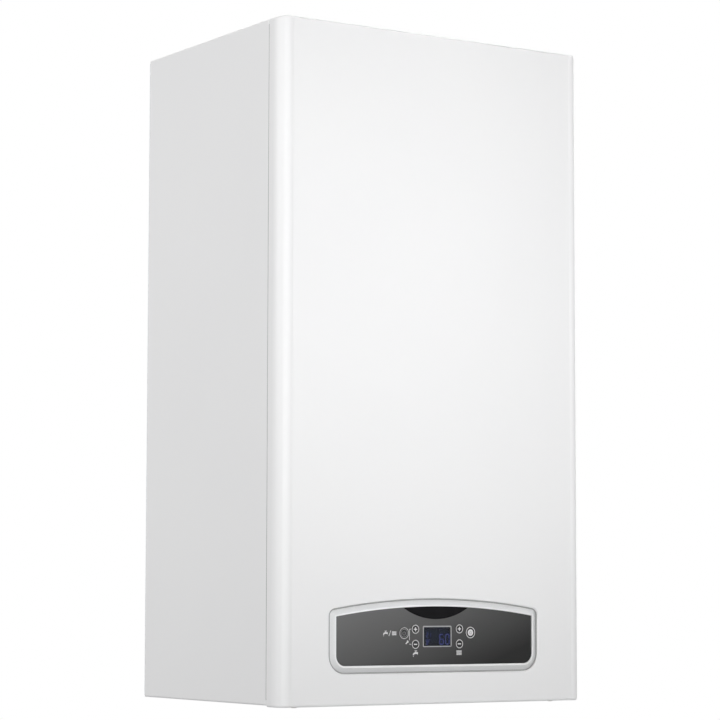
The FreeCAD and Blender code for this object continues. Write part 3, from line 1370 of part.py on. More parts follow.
def electrode_holes():
    z = BURNER_TOP + ELECTRODE_RISE
    deep = STACK_FRONT_Y + SHEET + INSULATION + OVERRUN
    return [
        bar_y(CERAMIC_RADIUS + RUNNING_CLEARANCE, STACK_FRONT_Y - OVERRUN, deep, x, z)
        for x in electrode_places()
    ]


# Combustion chamber, heat exchanger and hood


def combustion_chamber():
    walls = take(
        stack_box(0, BURNER_TOP, COMBUSTION_TOP),
        stack_box(SHEET, BURNER_TOP - OVERRUN, COMBUSTION_TOP + OVERRUN),
    )
    return take(walls, *electrode_holes())


def insulation_boards():
    """Four ceramic boards that line the combustion chamber."""
    half = STACK_HALF - SHEET
    front = STACK_FRONT_Y + SHEET
    back = STACK_BACK_Y - SHEET
    front_board = box(-half, half, front, front + INSULATION, BURNER_TOP, COMBUSTION_TOP)
    back_board = box(-half, half, back - INSULATION, back, BURNER_TOP, COMBUSTION_TOP)
    side = box(half - INSULATION, half, front + INSULATION, back - INSULATION, BURNER_TOP, COMBUSTION_TOP)
    return Part.makeCompound([take(front_board, *electrode_holes()), back_board] + both_sides(side))


def tube_rows():
    return [TUBE_FRONT_Y + EXCHANGER_PITCH * index for index in range(EXCHANGER_TUBE_COUNT)]


def heat_exchanger():
    """Brazed copper exchanger: shell, fins on a serpentine of tubes, and the two drops."""
    rows = tube_rows()
    end = STACK_HALF + EXCHANGER_END_SPACE
    shell = take(
        stack_box(0, COMBUSTION_TOP, EXCHANGER_TOP),
        stack_box(SHEET, COMBUSTION_TOP - OVERRUN, EXCHANGER_TOP + OVERRUN),
    )
    fin_half = STACK_HALF - SHEET - FIN_MARGIN
    pitch = 2 * fin_half / FIN_COUNT
    fins = [
        box(
            -fin_half + pitch * index, -fin_half + pitch * (index + FIN_SHARE),
            STACK_FRONT_Y + SHEET, STACK_BACK_Y - SHEET,
            TUBE_Z - FIN_HEIGHT / 2, TUBE_Z + FIN_HEIGHT / 2,
        )
        for index in range(FIN_COUNT)
    ]
    tubes = [bar_x(EXCHANGER_TUBE_RADIUS, -end, end, y, TUBE_Z) for y in rows]
    bends = []
    for index in range(EXCHANGER_TUBE_COUNT - 1):
        side_sign = 1 if index % 2 == 0 else -1
        centre = Vector(side_sign * end, (rows[index] + rows[index + 1]) / 2, TUBE_Z)
        half_ring = Part.makeTorus(
            EXCHANGER_PITCH / 2, EXCHANGER_TUBE_RADIUS, centre, Vector(0, 0, 1), 0, 360, 180
        )
        half_ring.rotate(centre, Vector(0, 0, 1), -90 * side_sign)
        bends.append(half_ring)
    drops = []
    for x, y in ((-DROP_X, rows[0]), (DROP_X, rows[-1])):
        drops.append(bar_x(EXCHANGER_TUBE_RADIUS, math.copysign(end, x), x, y, TUBE_Z))
        drops.append(Part.makeSphere(EXCHANGER_TUBE_RADIUS, Vector(x, y, TUBE_Z)))
        drops.append(bar_z(EXCHANGER_TUBE_RADIUS, DROP_Z - DROP_STUB, TUBE_Z, x, y))
    return join(shell, *fins, *tubes, *bends, *drops)


def hood_form(inset, low, high):
    """Tapered hood with an upright riser box at the rear, drawn in by the inset."""
    riser_x0 = FAN_X - RISER_HALF + inset
    riser_x1 = FAN_X + RISER_HALF - inset
    riser_y0 = FAN_BACK_Y + inset
    riser_y1 = FAN_BACK_Y + RISER_DEPTH - inset
    half = STACK_HALF - inset
    taper = Part.makeLoft(
        [
            rectangle(-half, half, STACK_FRONT_Y + inset, STACK_BACK_Y - inset, low),
            rectangle(riser_x0, riser_x1, riser_y0, riser_y1, HOOD_TOP),
        ],
        True,
        True,
    )
    riser = box(riser_x0, riser_x1, riser_y0, riser_y1, HOOD_TOP, high)
    return taper.fuse(riser)


def flue_hood():
    top = FAN_Z + RISER_TOP
    outer = hood_form(0, EXCHANGER_TOP, top)
    inner = hood_form(SHEET, EXCHANGER_TOP, top - SHEET)
    eye = bar_y(FAN_EYE_RADIUS, FAN_BACK_Y - OVERRUN, FAN_BACK_Y + SHEET + OVERRUN, FAN_X, FAN_Z)
    return take(outer, inner, eye)


# Fan


def volute(inset, y0, y1, top):
    """Spiral housing outline with an upward outlet, drawn in by the inset."""
    right = VOLUTE_RADIUS - inset
    low = right - VOLUTE_STEP
    left = low - VOLUTE_STEP
    crown = left - VOLUTE_STEP
    throat = VOLUTE_RADIUS - 2 * OUTLET_HALF + inset
    tongue = math.atan2(math.sqrt(crown ** 2 - throat ** 2), throat)

    def point(radius, angle):
        return Vector(FAN_X + radius * math.cos(angle), y0, FAN_Z + radius * math.sin(angle))

    def arc(first, first_angle, last, last_angle):
        middle = point((first + last) / 2, (first_angle + last_angle) / 2)
        return Part.Arc(point(first, first_angle), middle, point(last, last_angle)).toShape()

    def line(start, end):
        return Part.LineSegment(start, end).toShape()

    half_turn = math.pi
    outlet_right = Vector(FAN_X + right, y0, top)
    outlet_left = Vector(FAN_X + throat, y0, top)
    outline = Part.Wire([
        line(point(right, 0), outlet_right),
        line(outlet_right, outlet_left),
        line(outlet_left, point(crown, tongue)),
        arc(crown, tongue, left, half_turn),
        arc(left, half_turn, low, half_turn * 3 / 2),
        arc(low, half_turn * 3 / 2, right, half_turn * 2),
    ])
    return Part.Face(outline).extrude(Vector(0, y1 - y0, 0))


def fan_housing():
    """Spiral fan housing and, on its outlet plate, the round spigot that passes up through the collar."""
    shell = volute(0, FAN_FRONT_Y, FAN_BACK_Y, OUTLET_Z)
    hollow = volute(SHEET, FAN_FRONT_Y + SHEET, FAN_BACK_Y - SHEET, OUTLET_Z + OVERRUN)
    half = SPIGOT_RADIUS + OUTLET_PLATE_MARGIN
    plate_top = OUTLET_Z + OUTLET_PLATE
    plate = box(-half, half, FLUE_Y - half, FLUE_Y + half, OUTLET_Z, plate_top)
    spigot_top = TOP_PLATE_Z + SPIGOT_RISE
    spigot = bar_z(SPIGOT_RADIUS, plate_top, spigot_top, 0, FLUE_Y)
    bore = bar_z(SPIGOT_RADIUS - SPIGOT_WALL, OUTLET_Z, spigot_top + OVERRUN, 0, FLUE_Y)
    duct = box(
        SHEET - OUTLET_HALF, OUTLET_HALF - SHEET,
        FAN_FRONT_Y + SHEET, FAN_BACK_Y - SHEET,
        OUTLET_Z - OVERRUN, OUTLET_Z,
    )
    eye = bar_y(FAN_EYE_RADIUS, FAN_BACK_Y - SHEET - OVERRUN, FAN_BACK_Y + OVERRUN, FAN_X, FAN_Z)
    shaft_hole = bar_y(SHAFT_HOLE_RADIUS, FAN_FRONT_Y - OVERRUN, FAN_FRONT_Y + SHEET + OVERRUN, FAN_X, FAN_Z)
    throat = hollow.common(duct)
    body = take(join(take(shell, hollow), plate), bore, throat, eye, shaft_hole)
    return Part.makeCompound([body, take(spigot, bore)])


def fan_motor():
    ring = bar_y(FAN_MOTOR_RING, FAN_FRONT_Y - FAN_MOTOR_RING_THICKNESS, FAN_FRONT_Y, FAN_X, FAN_Z)
    front = FAN_FRONT_Y - FAN_MOTOR_LENGTH
    can = bar_y(FAN_MOTOR_RADIUS, front, FAN_FRONT_Y, FAN_X, FAN_Z)
    can = rounded(can, FAN_MOTOR_RING_THICKNESS, lambda edge: lies_at(edge, "y", front))
    bore = bar_y(
        SHAFT_RADIUS + RUNNING_CLEARANCE,
        FAN_FRONT_Y - SHAFT_DEPTH - SHAFT_END_GAP, FAN_FRONT_Y + OVERRUN,
        FAN_X, FAN_Z,
    )
    return take(join(ring, can), bore)


def fan_wheel():
    """Cage wheel: back plate with hub and shaft, a ring of blades and a front ring."""
    plate_y = FAN_FRONT_Y + SHEET + WHEEL_GAP
    blade_y = plate_y + WHEEL_PLATE
    ring_end = FAN_BACK_Y - SHEET - WHEEL_GAP
    ring_y = ring_end - WHEEL_PLATE
    plate = bar_y(WHEEL_RADIUS, plate_y, blade_y, FAN_X, FAN_Z)
    ring = take(
        bar_y(WHEEL_RADIUS, ring_y, ring_end, FAN_X, FAN_Z),
        bar_y(WHEEL_INNER_RADIUS, ring_y - OVERRUN, ring_end + OVERRUN, FAN_X, FAN_Z),
    )
    hub = bar_y(HUB_RADIUS, plate_y, plate_y + HUB_LENGTH, FAN_X, FAN_Z)
    shaft = bar_y(SHAFT_RADIUS, FAN_FRONT_Y - SHAFT_DEPTH, plate_y + HUB_LENGTH, FAN_X, FAN_Z)
    centre = Vector(FAN_X, blade_y, FAN_Z)
    blades = []
    mean = (WHEEL_RADIUS + WHEEL_INNER_RADIUS) / 2
    half_chord = (WHEEL_RADIUS - WHEEL_INNER_RADIUS) * WHEEL_CHORD_SHARE
    for index in range(WHEEL_BLADES):
        blade = box(
            FAN_X + mean - half_chord, FAN_X + mean + half_chord,
            blade_y, ring_y,
            FAN_Z - WHEEL_BLADE / 2, FAN_Z + WHEEL_BLADE / 2,
        )
        blade.rotate(Vector(FAN_X + mean, blade_y, FAN_Z), Vector(0, 1, 0), WHEEL_BLADE_TILT)
        blade.rotate(centre, Vector(0, 1, 0), 360 * index / WHEEL_BLADES)
        blades.append(blade)
    return join(plate, ring, hub, shaft, *blades)


def pressure_switch():
    """Round diaphragm switch on the chamber's right wall, with two hose ports."""
    wall = CHAMBER_HALF - SHEET
    z = CHAMBER_TOP - SWITCH_FROM_TOP
    stem = bar_x(SWITCH_STEM_RADIUS, wall - SWITCH_STEM_LENGTH, wall, FLUE_Y, z)
    face = wall - SWITCH_STEM_LENGTH - SWITCH_DISC_THICKNESS
    disc = bar_x(SWITCH_DISC_RADIUS, face, wall - SWITCH_STEM_LENGTH, FLUE_Y, z)
    ports = [
        bar_x(SWITCH_PORT_RADIUS, face - SWITCH_PORT_LENGTH, face, FLUE_Y + sign * SWITCH_STEM_RADIUS, z)
        for sign in (-1, 1)
    ]
    return join(stem, disc, *ports)


# Connections and hydraulic group


def connection_stubs():
    """Five pipe ends through the bottom plate, threaded below their lock nuts."""
    nut_low = PLATE_LOW - NUT_HEIGHT
    solids = []
    for x, radius in CONNECTIONS:
        core = radius - THREAD_DEPTH
        thread = bar_z(radius, STUB_END, nut_low, x, CONNECTION_Y)
        neck = bar_z(core, STUB_END, BLOCK_Z, x, CONNECTION_Y)
        bore = bar_z(radius - STUB_WALL, STUB_END - OVERRUN, BLOCK_Z + OVERRUN, x, CONNECTION_Y)
        solids.append(take(join(thread, neck), bore))
        nut = hexagon(radius + NUT_GRIP, nut_low, PLATE_LOW, x, CONNECTION_Y)
        solids.append(take(nut, bar_z(core, nut_low - OVERRUN, PLATE_LOW + OVERRUN, x, CONNECTION_Y)))
    return Part.makeCompound(solids)


def block_body(x0, x1):
    """Rounded brass block over two connections."""
    body = box(
        x0, x1, BLOCK_FRONT_Y, CONNECTION_Y + BLOCK_HALF_DEPTH, BLOCK_Z, BLOCK_TOP
    )
    return rounded(body, BLOCK_EDGE, along("z"))


def flow_block():
    """Left block: heating flow and hot water outlet, with the diverter valve in front."""
    body = block_body(FLOW_X - BLOCK_MARGIN, HOT_X + BLOCK_MARGIN)
    port = bar_z(PORT_RADIUS, BLOCK_TOP, BLOCK_TOP + PORT_HEIGHT, FLOW_X, CONNECTION_Y)
    middle = (BLOCK_Z + BLOCK_TOP) / 2
    valve = bar_y(DIVERTER_RADIUS, BLOCK_FRONT_Y - DIVERTER_LENGTH, BLOCK_FRONT_Y, FLOW_X, middle)
    ways = [
        bar_z(SMALL_STUB_RADIUS - STUB_WALL, BLOCK_Z - OVERRUN, BLOCK_TOP - BLOCK_EDGE, HOT_X, CONNECTION_Y),
        bar_z(
            HEATING_PIPE_RADIUS - PIPE_WALL, BLOCK_Z - OVERRUN, BLOCK_TOP + PORT_HEIGHT + OVERRUN,
            FLOW_X, CONNECTION_Y,
        ),
    ]
    return take(join(body, port, valve), *ways)


def diverter_actuator():
    """Plastic motor of the diverter valve."""
    back = BLOCK_FRONT_Y - DIVERTER_LENGTH
    middle = (BLOCK_Z + BLOCK_TOP) / 2
    body = box(
        FLOW_X - ACTUATOR_WIDTH / 2, FLOW_X + ACTUATOR_WIDTH / 2,
        back - ACTUATOR_DEPTH, back,
        middle - ACTUATOR_HEIGHT / 2, middle + ACTUATOR_HEIGHT / 2,
    )
    return rounded(body, ACTUATOR_EDGE, along("y"))


def return_block():
    """Right block: cold inlet and heating return, with the pump's riser and the safety valve."""
    body = block_body(COLD_X - BLOCK_MARGIN, RETURN_X + BLOCK_MARGIN)
    riser = box(
        RETURN_X - RISER_BLOCK_HALF, RETURN_X + BLOCK_MARGIN,
        BLOCK_FRONT_Y, CONNECTION_Y + BLOCK_HALF_DEPTH,
        BLOCK_TOP - BLOCK_EDGE, RISER_BLOCK_TOP,
    )
    riser = rounded(riser, BLOCK_EDGE, along("z"))
    front = BLOCK_FRONT_Y - SAFETY_LENGTH
    valve = bar_y(SAFETY_RADIUS, front, BLOCK_FRONT_Y, SAFETY_X, SAFETY_HEIGHT)
    stem = bar_y(SAFETY_STEM_RADIUS, front - SAFETY_STEM_LENGTH, front, SAFETY_X, SAFETY_HEIGHT)
    tap_bore = bar_z(
        TAP_STEM_RADIUS + RUNNING_CLEARANCE,
        BLOCK_Z - OVERRUN, BLOCK_Z + TAP_STEM_DEPTH + SHAFT_END_GAP,
        TAP_X, CONNECTION_Y,
    )
    ways = [
        bar_z(SMALL_STUB_RADIUS - STUB_WALL, BLOCK_Z - OVERRUN, BLOCK_TOP - BLOCK_EDGE, COLD_X, CONNECTION_Y),
        bar_z(LARGE_STUB_RADIUS - STUB_WALL, BLOCK_Z - OVERRUN, PUMP_HEIGHT, RETURN_X, CONNECTION_Y),
        bar_y(PUMP_PORT_RADIUS, BLOCK_FRONT_Y - OVERRUN, CONNECTION_Y, RETURN_X, PUMP_HEIGHT),
    ]
    return take(join(body, riser, valve, stem), tap_bore, *ways)


def plate_exchanger():
    """Brazed stack of plates lying on both blocks."""
    half = PLATE_STACK_WIDTH / 2
    deep = BLOCK_HALF_DEPTH
    pitch = PLATE_STACK_HEIGHT / PLATE_COUNT
    plates = []
    for index in range(PLATE_COUNT):
        step = PLATE_EDGE_STEP * (index % 2)
        plate = box(
            step - half, half - step,
            CONNECTION_Y - deep + step, CONNECTION_Y + deep - step,
            BLOCK_TOP + pitch * index, BLOCK_TOP + pitch * (index + 1),
        )
        plates.append(rounded(plate, PLATE_CORNER - step, along("z")))
    return join(*plates)


def gas_valve():
    """Cast gas valve with inlet flange, two solenoids and a pressure regulator cap."""
    half = GAS_VALVE_WIDTH / 2
    front = GAS_VALVE_BACK_Y - GAS_VALVE_DEPTH
    body = box(-half, half, front, GAS_VALVE_BACK_Y, GAS_VALVE_Z, GAS_VALVE_TOP)
    body = rounded(body, BLOCK_EDGE, along("z"))
    flange_half = GAS_FLANGE / 2
    flange = box(
        -flange_half, flange_half,
        GAS_VALVE_BACK_Y, GAS_VALVE_BACK_Y + GAS_FLANGE_THICKNESS,
        GAS_INLET_HEIGHT - flange_half + BLOCK_EDGE, GAS_INLET_HEIGHT + flange_half - BLOCK_EDGE,
    )
    top_flange = box(
        -flange_half, flange_half,
        GAS_VALVE_Y - flange_half, GAS_VALVE_Y + flange_half,
        GAS_VALVE_TOP, GAS_VALVE_TOP + GAS_FLANGE_THICKNESS,
    )
    coil_z = GAS_VALVE_TOP - 2 * SOLENOID_RADIUS
    coils = [
        bar_y(SOLENOID_RADIUS, front - SOLENOID_LENGTH, front, sign * half / 2, coil_z) for sign in (-1, 1)
    ]
    cap = bar_y(REGULATOR_RADIUS, front - REGULATOR_LENGTH, front, 0, GAS_VALVE_Z + 2 * REGULATOR_RADIUS)
    return join(body, flange, top_flange, cap, *coils)


def gas_pipes():
    """Gas inlet pipe from its stub to the valve, and outlet pipe from the valve up to the manifold."""
    inlet = pipe(
        [
            Vector(0, CONNECTION_Y, BLOCK_Z),
            Vector(0, CONNECTION_Y, GAS_INLET_HEIGHT),
            Vector(0, GAS_VALVE_BACK_Y + GAS_FLANGE_THICKNESS, GAS_INLET_HEIGHT),
        ],
        GAS_BEND, GAS_PIPE_RADIUS, PIPE_WALL,
    )
    outlet = pipe(
        [
            Vector(0, GAS_VALVE_Y, GAS_VALVE_TOP + GAS_FLANGE_THICKNESS),
            Vector(0, GAS_VALVE_Y, GAS_CROSS_LOW),
            Vector(0, MANIFOLD_Y, GAS_CROSS_HIGH),
            Vector(0, MANIFOLD_Y, INJECTOR_Z - 2 * MANIFOLD_RADIUS),
        ],
        GAS_BEND, GAS_PIPE_RADIUS, PIPE_WALL,
    )
    return Part.makeCompound([inlet, outlet])


def heating_pipes():
    """Copper pipes between the exchanger's drops and the flow block and pump."""
    low = DROP_Z - DROP_STUB
    flow = pipe(
        [
            Vector(-DROP_X, TUBE_FRONT_Y, low),
            Vector(-DROP_X, TUBE_FRONT_Y, FLOW_CROSS_HIGH),
            Vector(FLOW_X, CONNECTION_Y, FLOW_CROSS_LOW),
            Vector(FLOW_X, CONNECTION_Y, BLOCK_TOP + PORT_HEIGHT),
        ],
        HEATING_BEND, HEATING_PIPE_RADIUS, PIPE_WALL,
    )
    back = pipe(
        [
            Vector(RETURN_X, PUMP_PORT_Y, PUMP_OUTLET_TOP),
            Vector(RETURN_X, PUMP_PORT_Y, RETURN_CROSS_LOW),
            Vector(DROP_X, TUBE_BACK_Y, RETURN_CROSS_HIGH),
            Vector(DROP_X, TUBE_BACK_Y, low),
        ],
        HEATING_BEND, HEATING_PIPE_RADIUS, PIPE_WALL,
    )
    return Part.makeCompound([flow, back])


def vessel_pipe():
    port = vessel_port()
    x = RETURN_X - RISER_BLOCK_HALF / 2
    return pipe(
        [
            port - Vector(0, 0, VESSEL_PORT_LENGTH),
            Vector(port.x, port.y, VESSEL_CROSS_HIGH),
            Vector(x, CONNECTION_Y, VESSEL_CROSS_LOW),
            Vector(x, CONNECTION_Y, RISER_BLOCK_TOP),
        ],
        VESSEL_BEND, VESSEL_PIPE_RADIUS, PIPE_WALL,
    )


# Pump


def pump_body():
    """Pump volute against the riser, with an upward outlet and an air vent."""
    body = bar_y(PUMP_RADIUS, PUMP_Y, BLOCK_FRONT_Y, RETURN_X, PUMP_HEIGHT)
    outlet = bar_z(PORT_RADIUS, PUMP_HEIGHT, PUMP_OUTLET_TOP, RETURN_X, PUMP_PORT_Y)
    vent = bar_z(
        AIR_VENT_RADIUS, PUMP_HEIGHT, PUMP_HEIGHT + PUMP_RADIUS + AIR_VENT_RISE,
        RETURN_X - AIR_VENT_OFFSET, PUMP_PORT_Y,
    )
    cavity = bar_y(
        PUMP_CAVITY_RADIUS, PUMP_Y - OVERRUN, BLOCK_FRONT_Y - PUMP_BACK_WALL, RETURN_X, PUMP_HEIGHT
    )
    inlet = bar_y(PUMP_PORT_RADIUS, PUMP_Y, BLOCK_FRONT_Y + OVERRUN, RETURN_X, PUMP_HEIGHT)
    way_out = bar_z(
        HEATING_PIPE_RADIUS - PIPE_WALL, PUMP_HEIGHT, PUMP_OUTLET_TOP + OVERRUN, RETURN_X, PUMP_PORT_Y
    )
    return take(join(body, outlet, vent), cavity, inlet, way_out)


def pump_motor():
    """Round motor with a flange, a terminal box on its left and a bleed cap in front."""
    front = PUMP_Y - PUMP_MOTOR_LENGTH
    can = bar_y(PUMP_MOTOR_RADIUS, front, PUMP_Y, RETURN_X, PUMP_HEIGHT)
    can = rounded(can, BLOCK_EDGE, lambda edge: lies_at(edge, "y", front))
    flange = bar_y(PUMP_RADIUS, PUMP_Y - PUMP_FLANGE_THICKNESS, PUMP_Y, RETURN_X, PUMP_HEIGHT)
    terminal = box(
        RETURN_X - PUMP_BOX_WIDTH / 2, RETURN_X + PUMP_BOX_WIDTH / 2,
        front + BLOCK_EDGE, front + BLOCK_EDGE + PUMP_BOX_LENGTH,
        PUMP_HEIGHT, PUMP_HEIGHT + PUMP_MOTOR_RADIUS + PUMP_BOX_HEIGHT / 2,
    )
    terminal = rounded(terminal, BLOCK_EDGE, along("y"))
    cap = bar_y(PUMP_CAP_RADIUS, front - PUMP_CAP_THICKNESS, front, RETURN_X, PUMP_HEIGHT)
    bore = bar_y(
        SHAFT_RADIUS + RUNNING_CLEARANCE,
        PUMP_Y - SHAFT_DEPTH - SHAFT_END_GAP, PUMP_Y + OVERRUN,
        RETURN_X, PUMP_HEIGHT,
    )
    return take(join(can, flange, terminal, cap), bore)


def pump_impeller():
    """Disc with back-swept blades on the pump shaft."""
    disc_y = PUMP_Y + IMPELLER_GAP
    blade_y = disc_y + IMPELLER_PLATE
    disc = bar_y(IMPELLER_RADIUS, disc_y, blade_y, RETURN_X, PUMP_HEIGHT)
    shaft = bar_y(SHAFT_RADIUS, PUMP_Y - SHAFT_DEPTH, blade_y, RETURN_X, PUMP_HEIGHT)
    centre = Vector(RETURN_X, blade_y, PUMP_HEIGHT)
    tip = IMPELLER_RADIUS - IMPELLER_BLADE
    blades = []
    for index in range(IMPELLER_BLADES):
        blade = box(
            RETURN_X + tip - IMPELLER_BLADE_LENGTH, RETURN_X + tip,
            disc_y, blade_y + IMPELLER_BLADE_HEIGHT,
            PUMP_HEIGHT - IMPELLER_BLADE / 2, PUMP_HEIGHT + IMPELLER_BLADE / 2,
        )
        blade.rotate(Vector(RETURN_X + tip, blade_y, PUMP_HEIGHT), Vector(0, 1, 0), WHEEL_BLADE_TILT)
        blade.rotate(centre, Vector(0, 1, 0), 360 * index / IMPELLER_BLADES)
        blades.append(blade)
    return join(disc, shaft, *blades)


# Small fittings


def safety_valve_knob():
    """Grip knob that turns on the safety valve's stem."""
    back = BLOCK_FRONT_Y - SAFETY_LENGTH - REST_GAP
    front = back - KNOB_LENGTH
    knob = bar_y(KNOB_RADIUS, front, back, SAFETY_X, SAFETY_HEIGHT)
    grips = []
    for index in range(KNOB_GRIPS):
        angle = index * math.tau / KNOB_GRIPS
        x = SAFETY_X + KNOB_RADIUS * math.cos(angle)
        z = SAFETY_HEIGHT + KNOB_RADIUS * math.sin(angle)
        grips.append(bar_y(KNOB_GRIP_RADIUS, front - OVERRUN, back + OVERRUN, x, z))
    stem_end = BLOCK_FRONT_Y - SAFETY_LENGTH - SAFETY_STEM_LENGTH
    bore = bar_y(
        SAFETY_STEM_RADIUS + RUNNING_CLEARANCE, stem_end - SAFETY_STEM_GAP, back + OVERRUN,
        SAFETY_X, SAFETY_HEIGHT,
    )
    return take(knob, bore, *grips)


def gauge_dial_z():
    return PLATE_LOW - GAUGE_DROP + GAUGE_DIAL_DEPTH


def pressure_gauge():
    """Round gauge that looks down through the bottom plate, with its dial and needle pin."""
    low = PLATE_LOW - GAUGE_DROP
    body = bar_z(GAUGE_RADIUS, low, CONNECTION_RECESS + GAUGE_RISE, GAUGE_X, GAUGE_Y)
    rim = bar_z(GAUGE_RADIUS + GAUGE_RIM, PLATE_LOW - GAUGE_RIM_THICKNESS, PLATE_LOW, GAUGE_X, GAUGE_Y)
    dial_z = gauge_dial_z()
    cup = bar_z(GAUGE_RADIUS - GAUGE_WALL, low - OVERRUN, dial_z, GAUGE_X, GAUGE_Y)
    pin = bar_z(NEEDLE_PIN_RADIUS, dial_z - NEEDLE_PIN_LENGTH, dial_z, GAUGE_X, GAUGE_Y)
    return join(take(join(body, rim), cup), pin)


def gauge_needle():
    top = gauge_dial_z() - NEEDLE_DROP
    low = top - NEEDLE_THICKNESS
    hub = bar_z(NEEDLE_HUB_RADIUS, low, top, GAUGE_X, GAUGE_Y)
    pointer = Part.Face(Part.makePolygon([
        Vector(GAUGE_X - NEEDLE_TAIL, GAUGE_Y - NEEDLE_WIDTH, low),
        Vector(GAUGE_X + NEEDLE_LENGTH, GAUGE_Y - NEEDLE_WIDTH / 4, low),
        Vector(GAUGE_X + NEEDLE_LENGTH, GAUGE_Y + NEEDLE_WIDTH / 4, low),
        Vector(GAUGE_X - NEEDLE_TAIL, GAUGE_Y + NEEDLE_WIDTH, low),
        Vector(GAUGE_X - NEEDLE_TAIL, GAUGE_Y - NEEDLE_WIDTH, low),
    ])).extrude(Vector(0, 0, NEEDLE_THICKNESS))
    bore = bar_z(NEEDLE_PIN_RADIUS + RUNNING_CLEARANCE, low - OVERRUN, top + OVERRUN, GAUGE_X, GAUGE_Y)
    needle = take(join(hub, pointer), bore)
    needle.rotate(Vector(GAUGE_X, GAUGE_Y, low), Vector(0, 0, 1), NEEDLE_START)
    return needle


def filling_tap():
    """Lever-free tap knob under the bottom plate; its stem turns in the return block."""
    top = TAP_LOW + TAP_HEIGHT
    knob = bar_z(TAP_RADIUS, TAP_LOW, top, TAP_X, CONNECTION_Y)
    knob = rounded(knob, TAP_EDGE, lambda edge: lies_at(edge, "z", TAP_LOW))
    stem = bar_z(TAP_STEM_RADIUS, TAP_LOW + TAP_HEIGHT / 2, BLOCK_Z + TAP_STEM_DEPTH, TAP_X, CONNECTION_Y)
    grips = []
    for index in range(KNOB_GRIPS):
        angle = index * math.tau / KNOB_GRIPS
        x = TAP_X + TAP_RADIUS * math.cos(angle)
        y = CONNECTION_Y + TAP_RADIUS * math.sin(angle)
        grips.append(bar_z(KNOB_GRIP_RADIUS / 2, TAP_LOW - OVERRUN, top + OVERRUN, x, y))
    return join(take(knob, *grips), stem)


def cable_gland():
    """Gland for the supply cable in the bottom plate."""
    low = PLATE_LOW - GLAND_DROP
    high = CONNECTION_RECESS + GLAND_RISE
    body = bar_z(GLAND_RADIUS, low, high, GLAND_X, GLAND_Y)
    dome = hexagon(GLAND_NUT_RADIUS, PLATE_LOW - GLAND_NUT_HEIGHT, PLATE_LOW, GLAND_X, GLAND_Y)
    nut = hexagon(
        GLAND_NUT_RADIUS, CONNECTION_RECESS, CONNECTION_RECESS + GLAND_NUT_HEIGHT, GLAND_X, GLAND_Y
    )
    bore = bar_z(GLAND_BORE, low - OVERRUN, high + OVERRUN, GLAND_X, GLAND_Y)
    return take(join(body, dome, nut), bore)


NODES = (
    rear_frame, side_panel_left, side_panel_right, top_plate, casing_catches, bottom_plate,
    front_casing, sheet_screws, flue_collar, air_intake_caps,
    control_housing, control_cover, control_bezel, control_fascia, badge_lens, display_window,
    display_board, main_board, control_screws, hinge_brackets, hinge_pins,
    expansion_vessel, chamber_body, chamber_seal, chamber_cover,
    burner_tray, burner_ramps, gas_manifold, electrodes, combustion_chamber, insulation_boards,
    heat_exchanger, flue_hood, fan_housing, fan_motor, fan_wheel, pressure_switch,
    connection_stubs, flow_block, diverter_actuator, return_block, plate_exchanger,
    gas_valve, gas_pipes, heating_pipes, vessel_pipe, pump_body, pump_motor, pump_impeller,
    safety_valve_knob, pressure_gauge, gauge_needle, filling_tap, cable_gland,
)


def export(name, shape):
    shape.translate(Vector(0, 0, -HANG_HEIGHT))
    shape.exportStep(f"parts/{name}.step")


os.makedirs("parts", exist_ok=True)
for make in NODES:
    export(make.__name__, make())
for name, place in BUTTONS.items():
    export(name, button(*place))
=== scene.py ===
import math

import bpy
from mathutils import Matrix, Vector


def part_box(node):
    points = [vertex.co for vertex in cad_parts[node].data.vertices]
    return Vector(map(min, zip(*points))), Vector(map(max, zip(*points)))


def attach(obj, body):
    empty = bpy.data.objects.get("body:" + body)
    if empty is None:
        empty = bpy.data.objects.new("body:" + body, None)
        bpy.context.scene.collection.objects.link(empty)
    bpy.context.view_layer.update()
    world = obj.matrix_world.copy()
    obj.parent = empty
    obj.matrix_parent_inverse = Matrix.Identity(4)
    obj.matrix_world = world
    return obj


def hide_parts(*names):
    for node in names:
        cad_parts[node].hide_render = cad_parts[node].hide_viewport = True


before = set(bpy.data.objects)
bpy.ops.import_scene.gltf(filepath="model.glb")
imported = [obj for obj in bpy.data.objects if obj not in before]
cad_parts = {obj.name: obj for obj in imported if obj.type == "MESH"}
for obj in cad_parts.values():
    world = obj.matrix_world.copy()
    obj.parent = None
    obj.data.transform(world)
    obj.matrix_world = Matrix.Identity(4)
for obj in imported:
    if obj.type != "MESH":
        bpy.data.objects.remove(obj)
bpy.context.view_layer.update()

# Camera. It stands low in front of the boiler's left corner and looks a little upwards,
# with a long lens, so that the upright edges stay nearly parallel.
yaw = math.radians(32.97)
pitch = math.radians(5.10)
roll = math.radians(0.10)
distance = 2.976
target = Vector((-0.0026, -0.150, -0.3124))
sight = Vector((math.sin(yaw) * math.cos(pitch), math.cos(yaw) * math.cos(pitch), math.sin(pitch)))
bpy.ops.object.select_all(action="DESELECT")
bpy.ops.object.camera_add(location=target - sight * distance)
camera = bpy.context.object
camera.name = "photo_camera"
turn = sight.to_track_quat("-Z", "Y").to_matrix() @ Matrix.Rotation(roll, 3, "Z")
camera.rotation_euler = turn.to_euler()
camera.data.sensor_width = 36.0
camera.data.lens = 129.15
camera.data.clip_end = 60.0
bpy.context.scene.camera = camera
bpy.context.scene.view_settings.view_transform = "Standard"

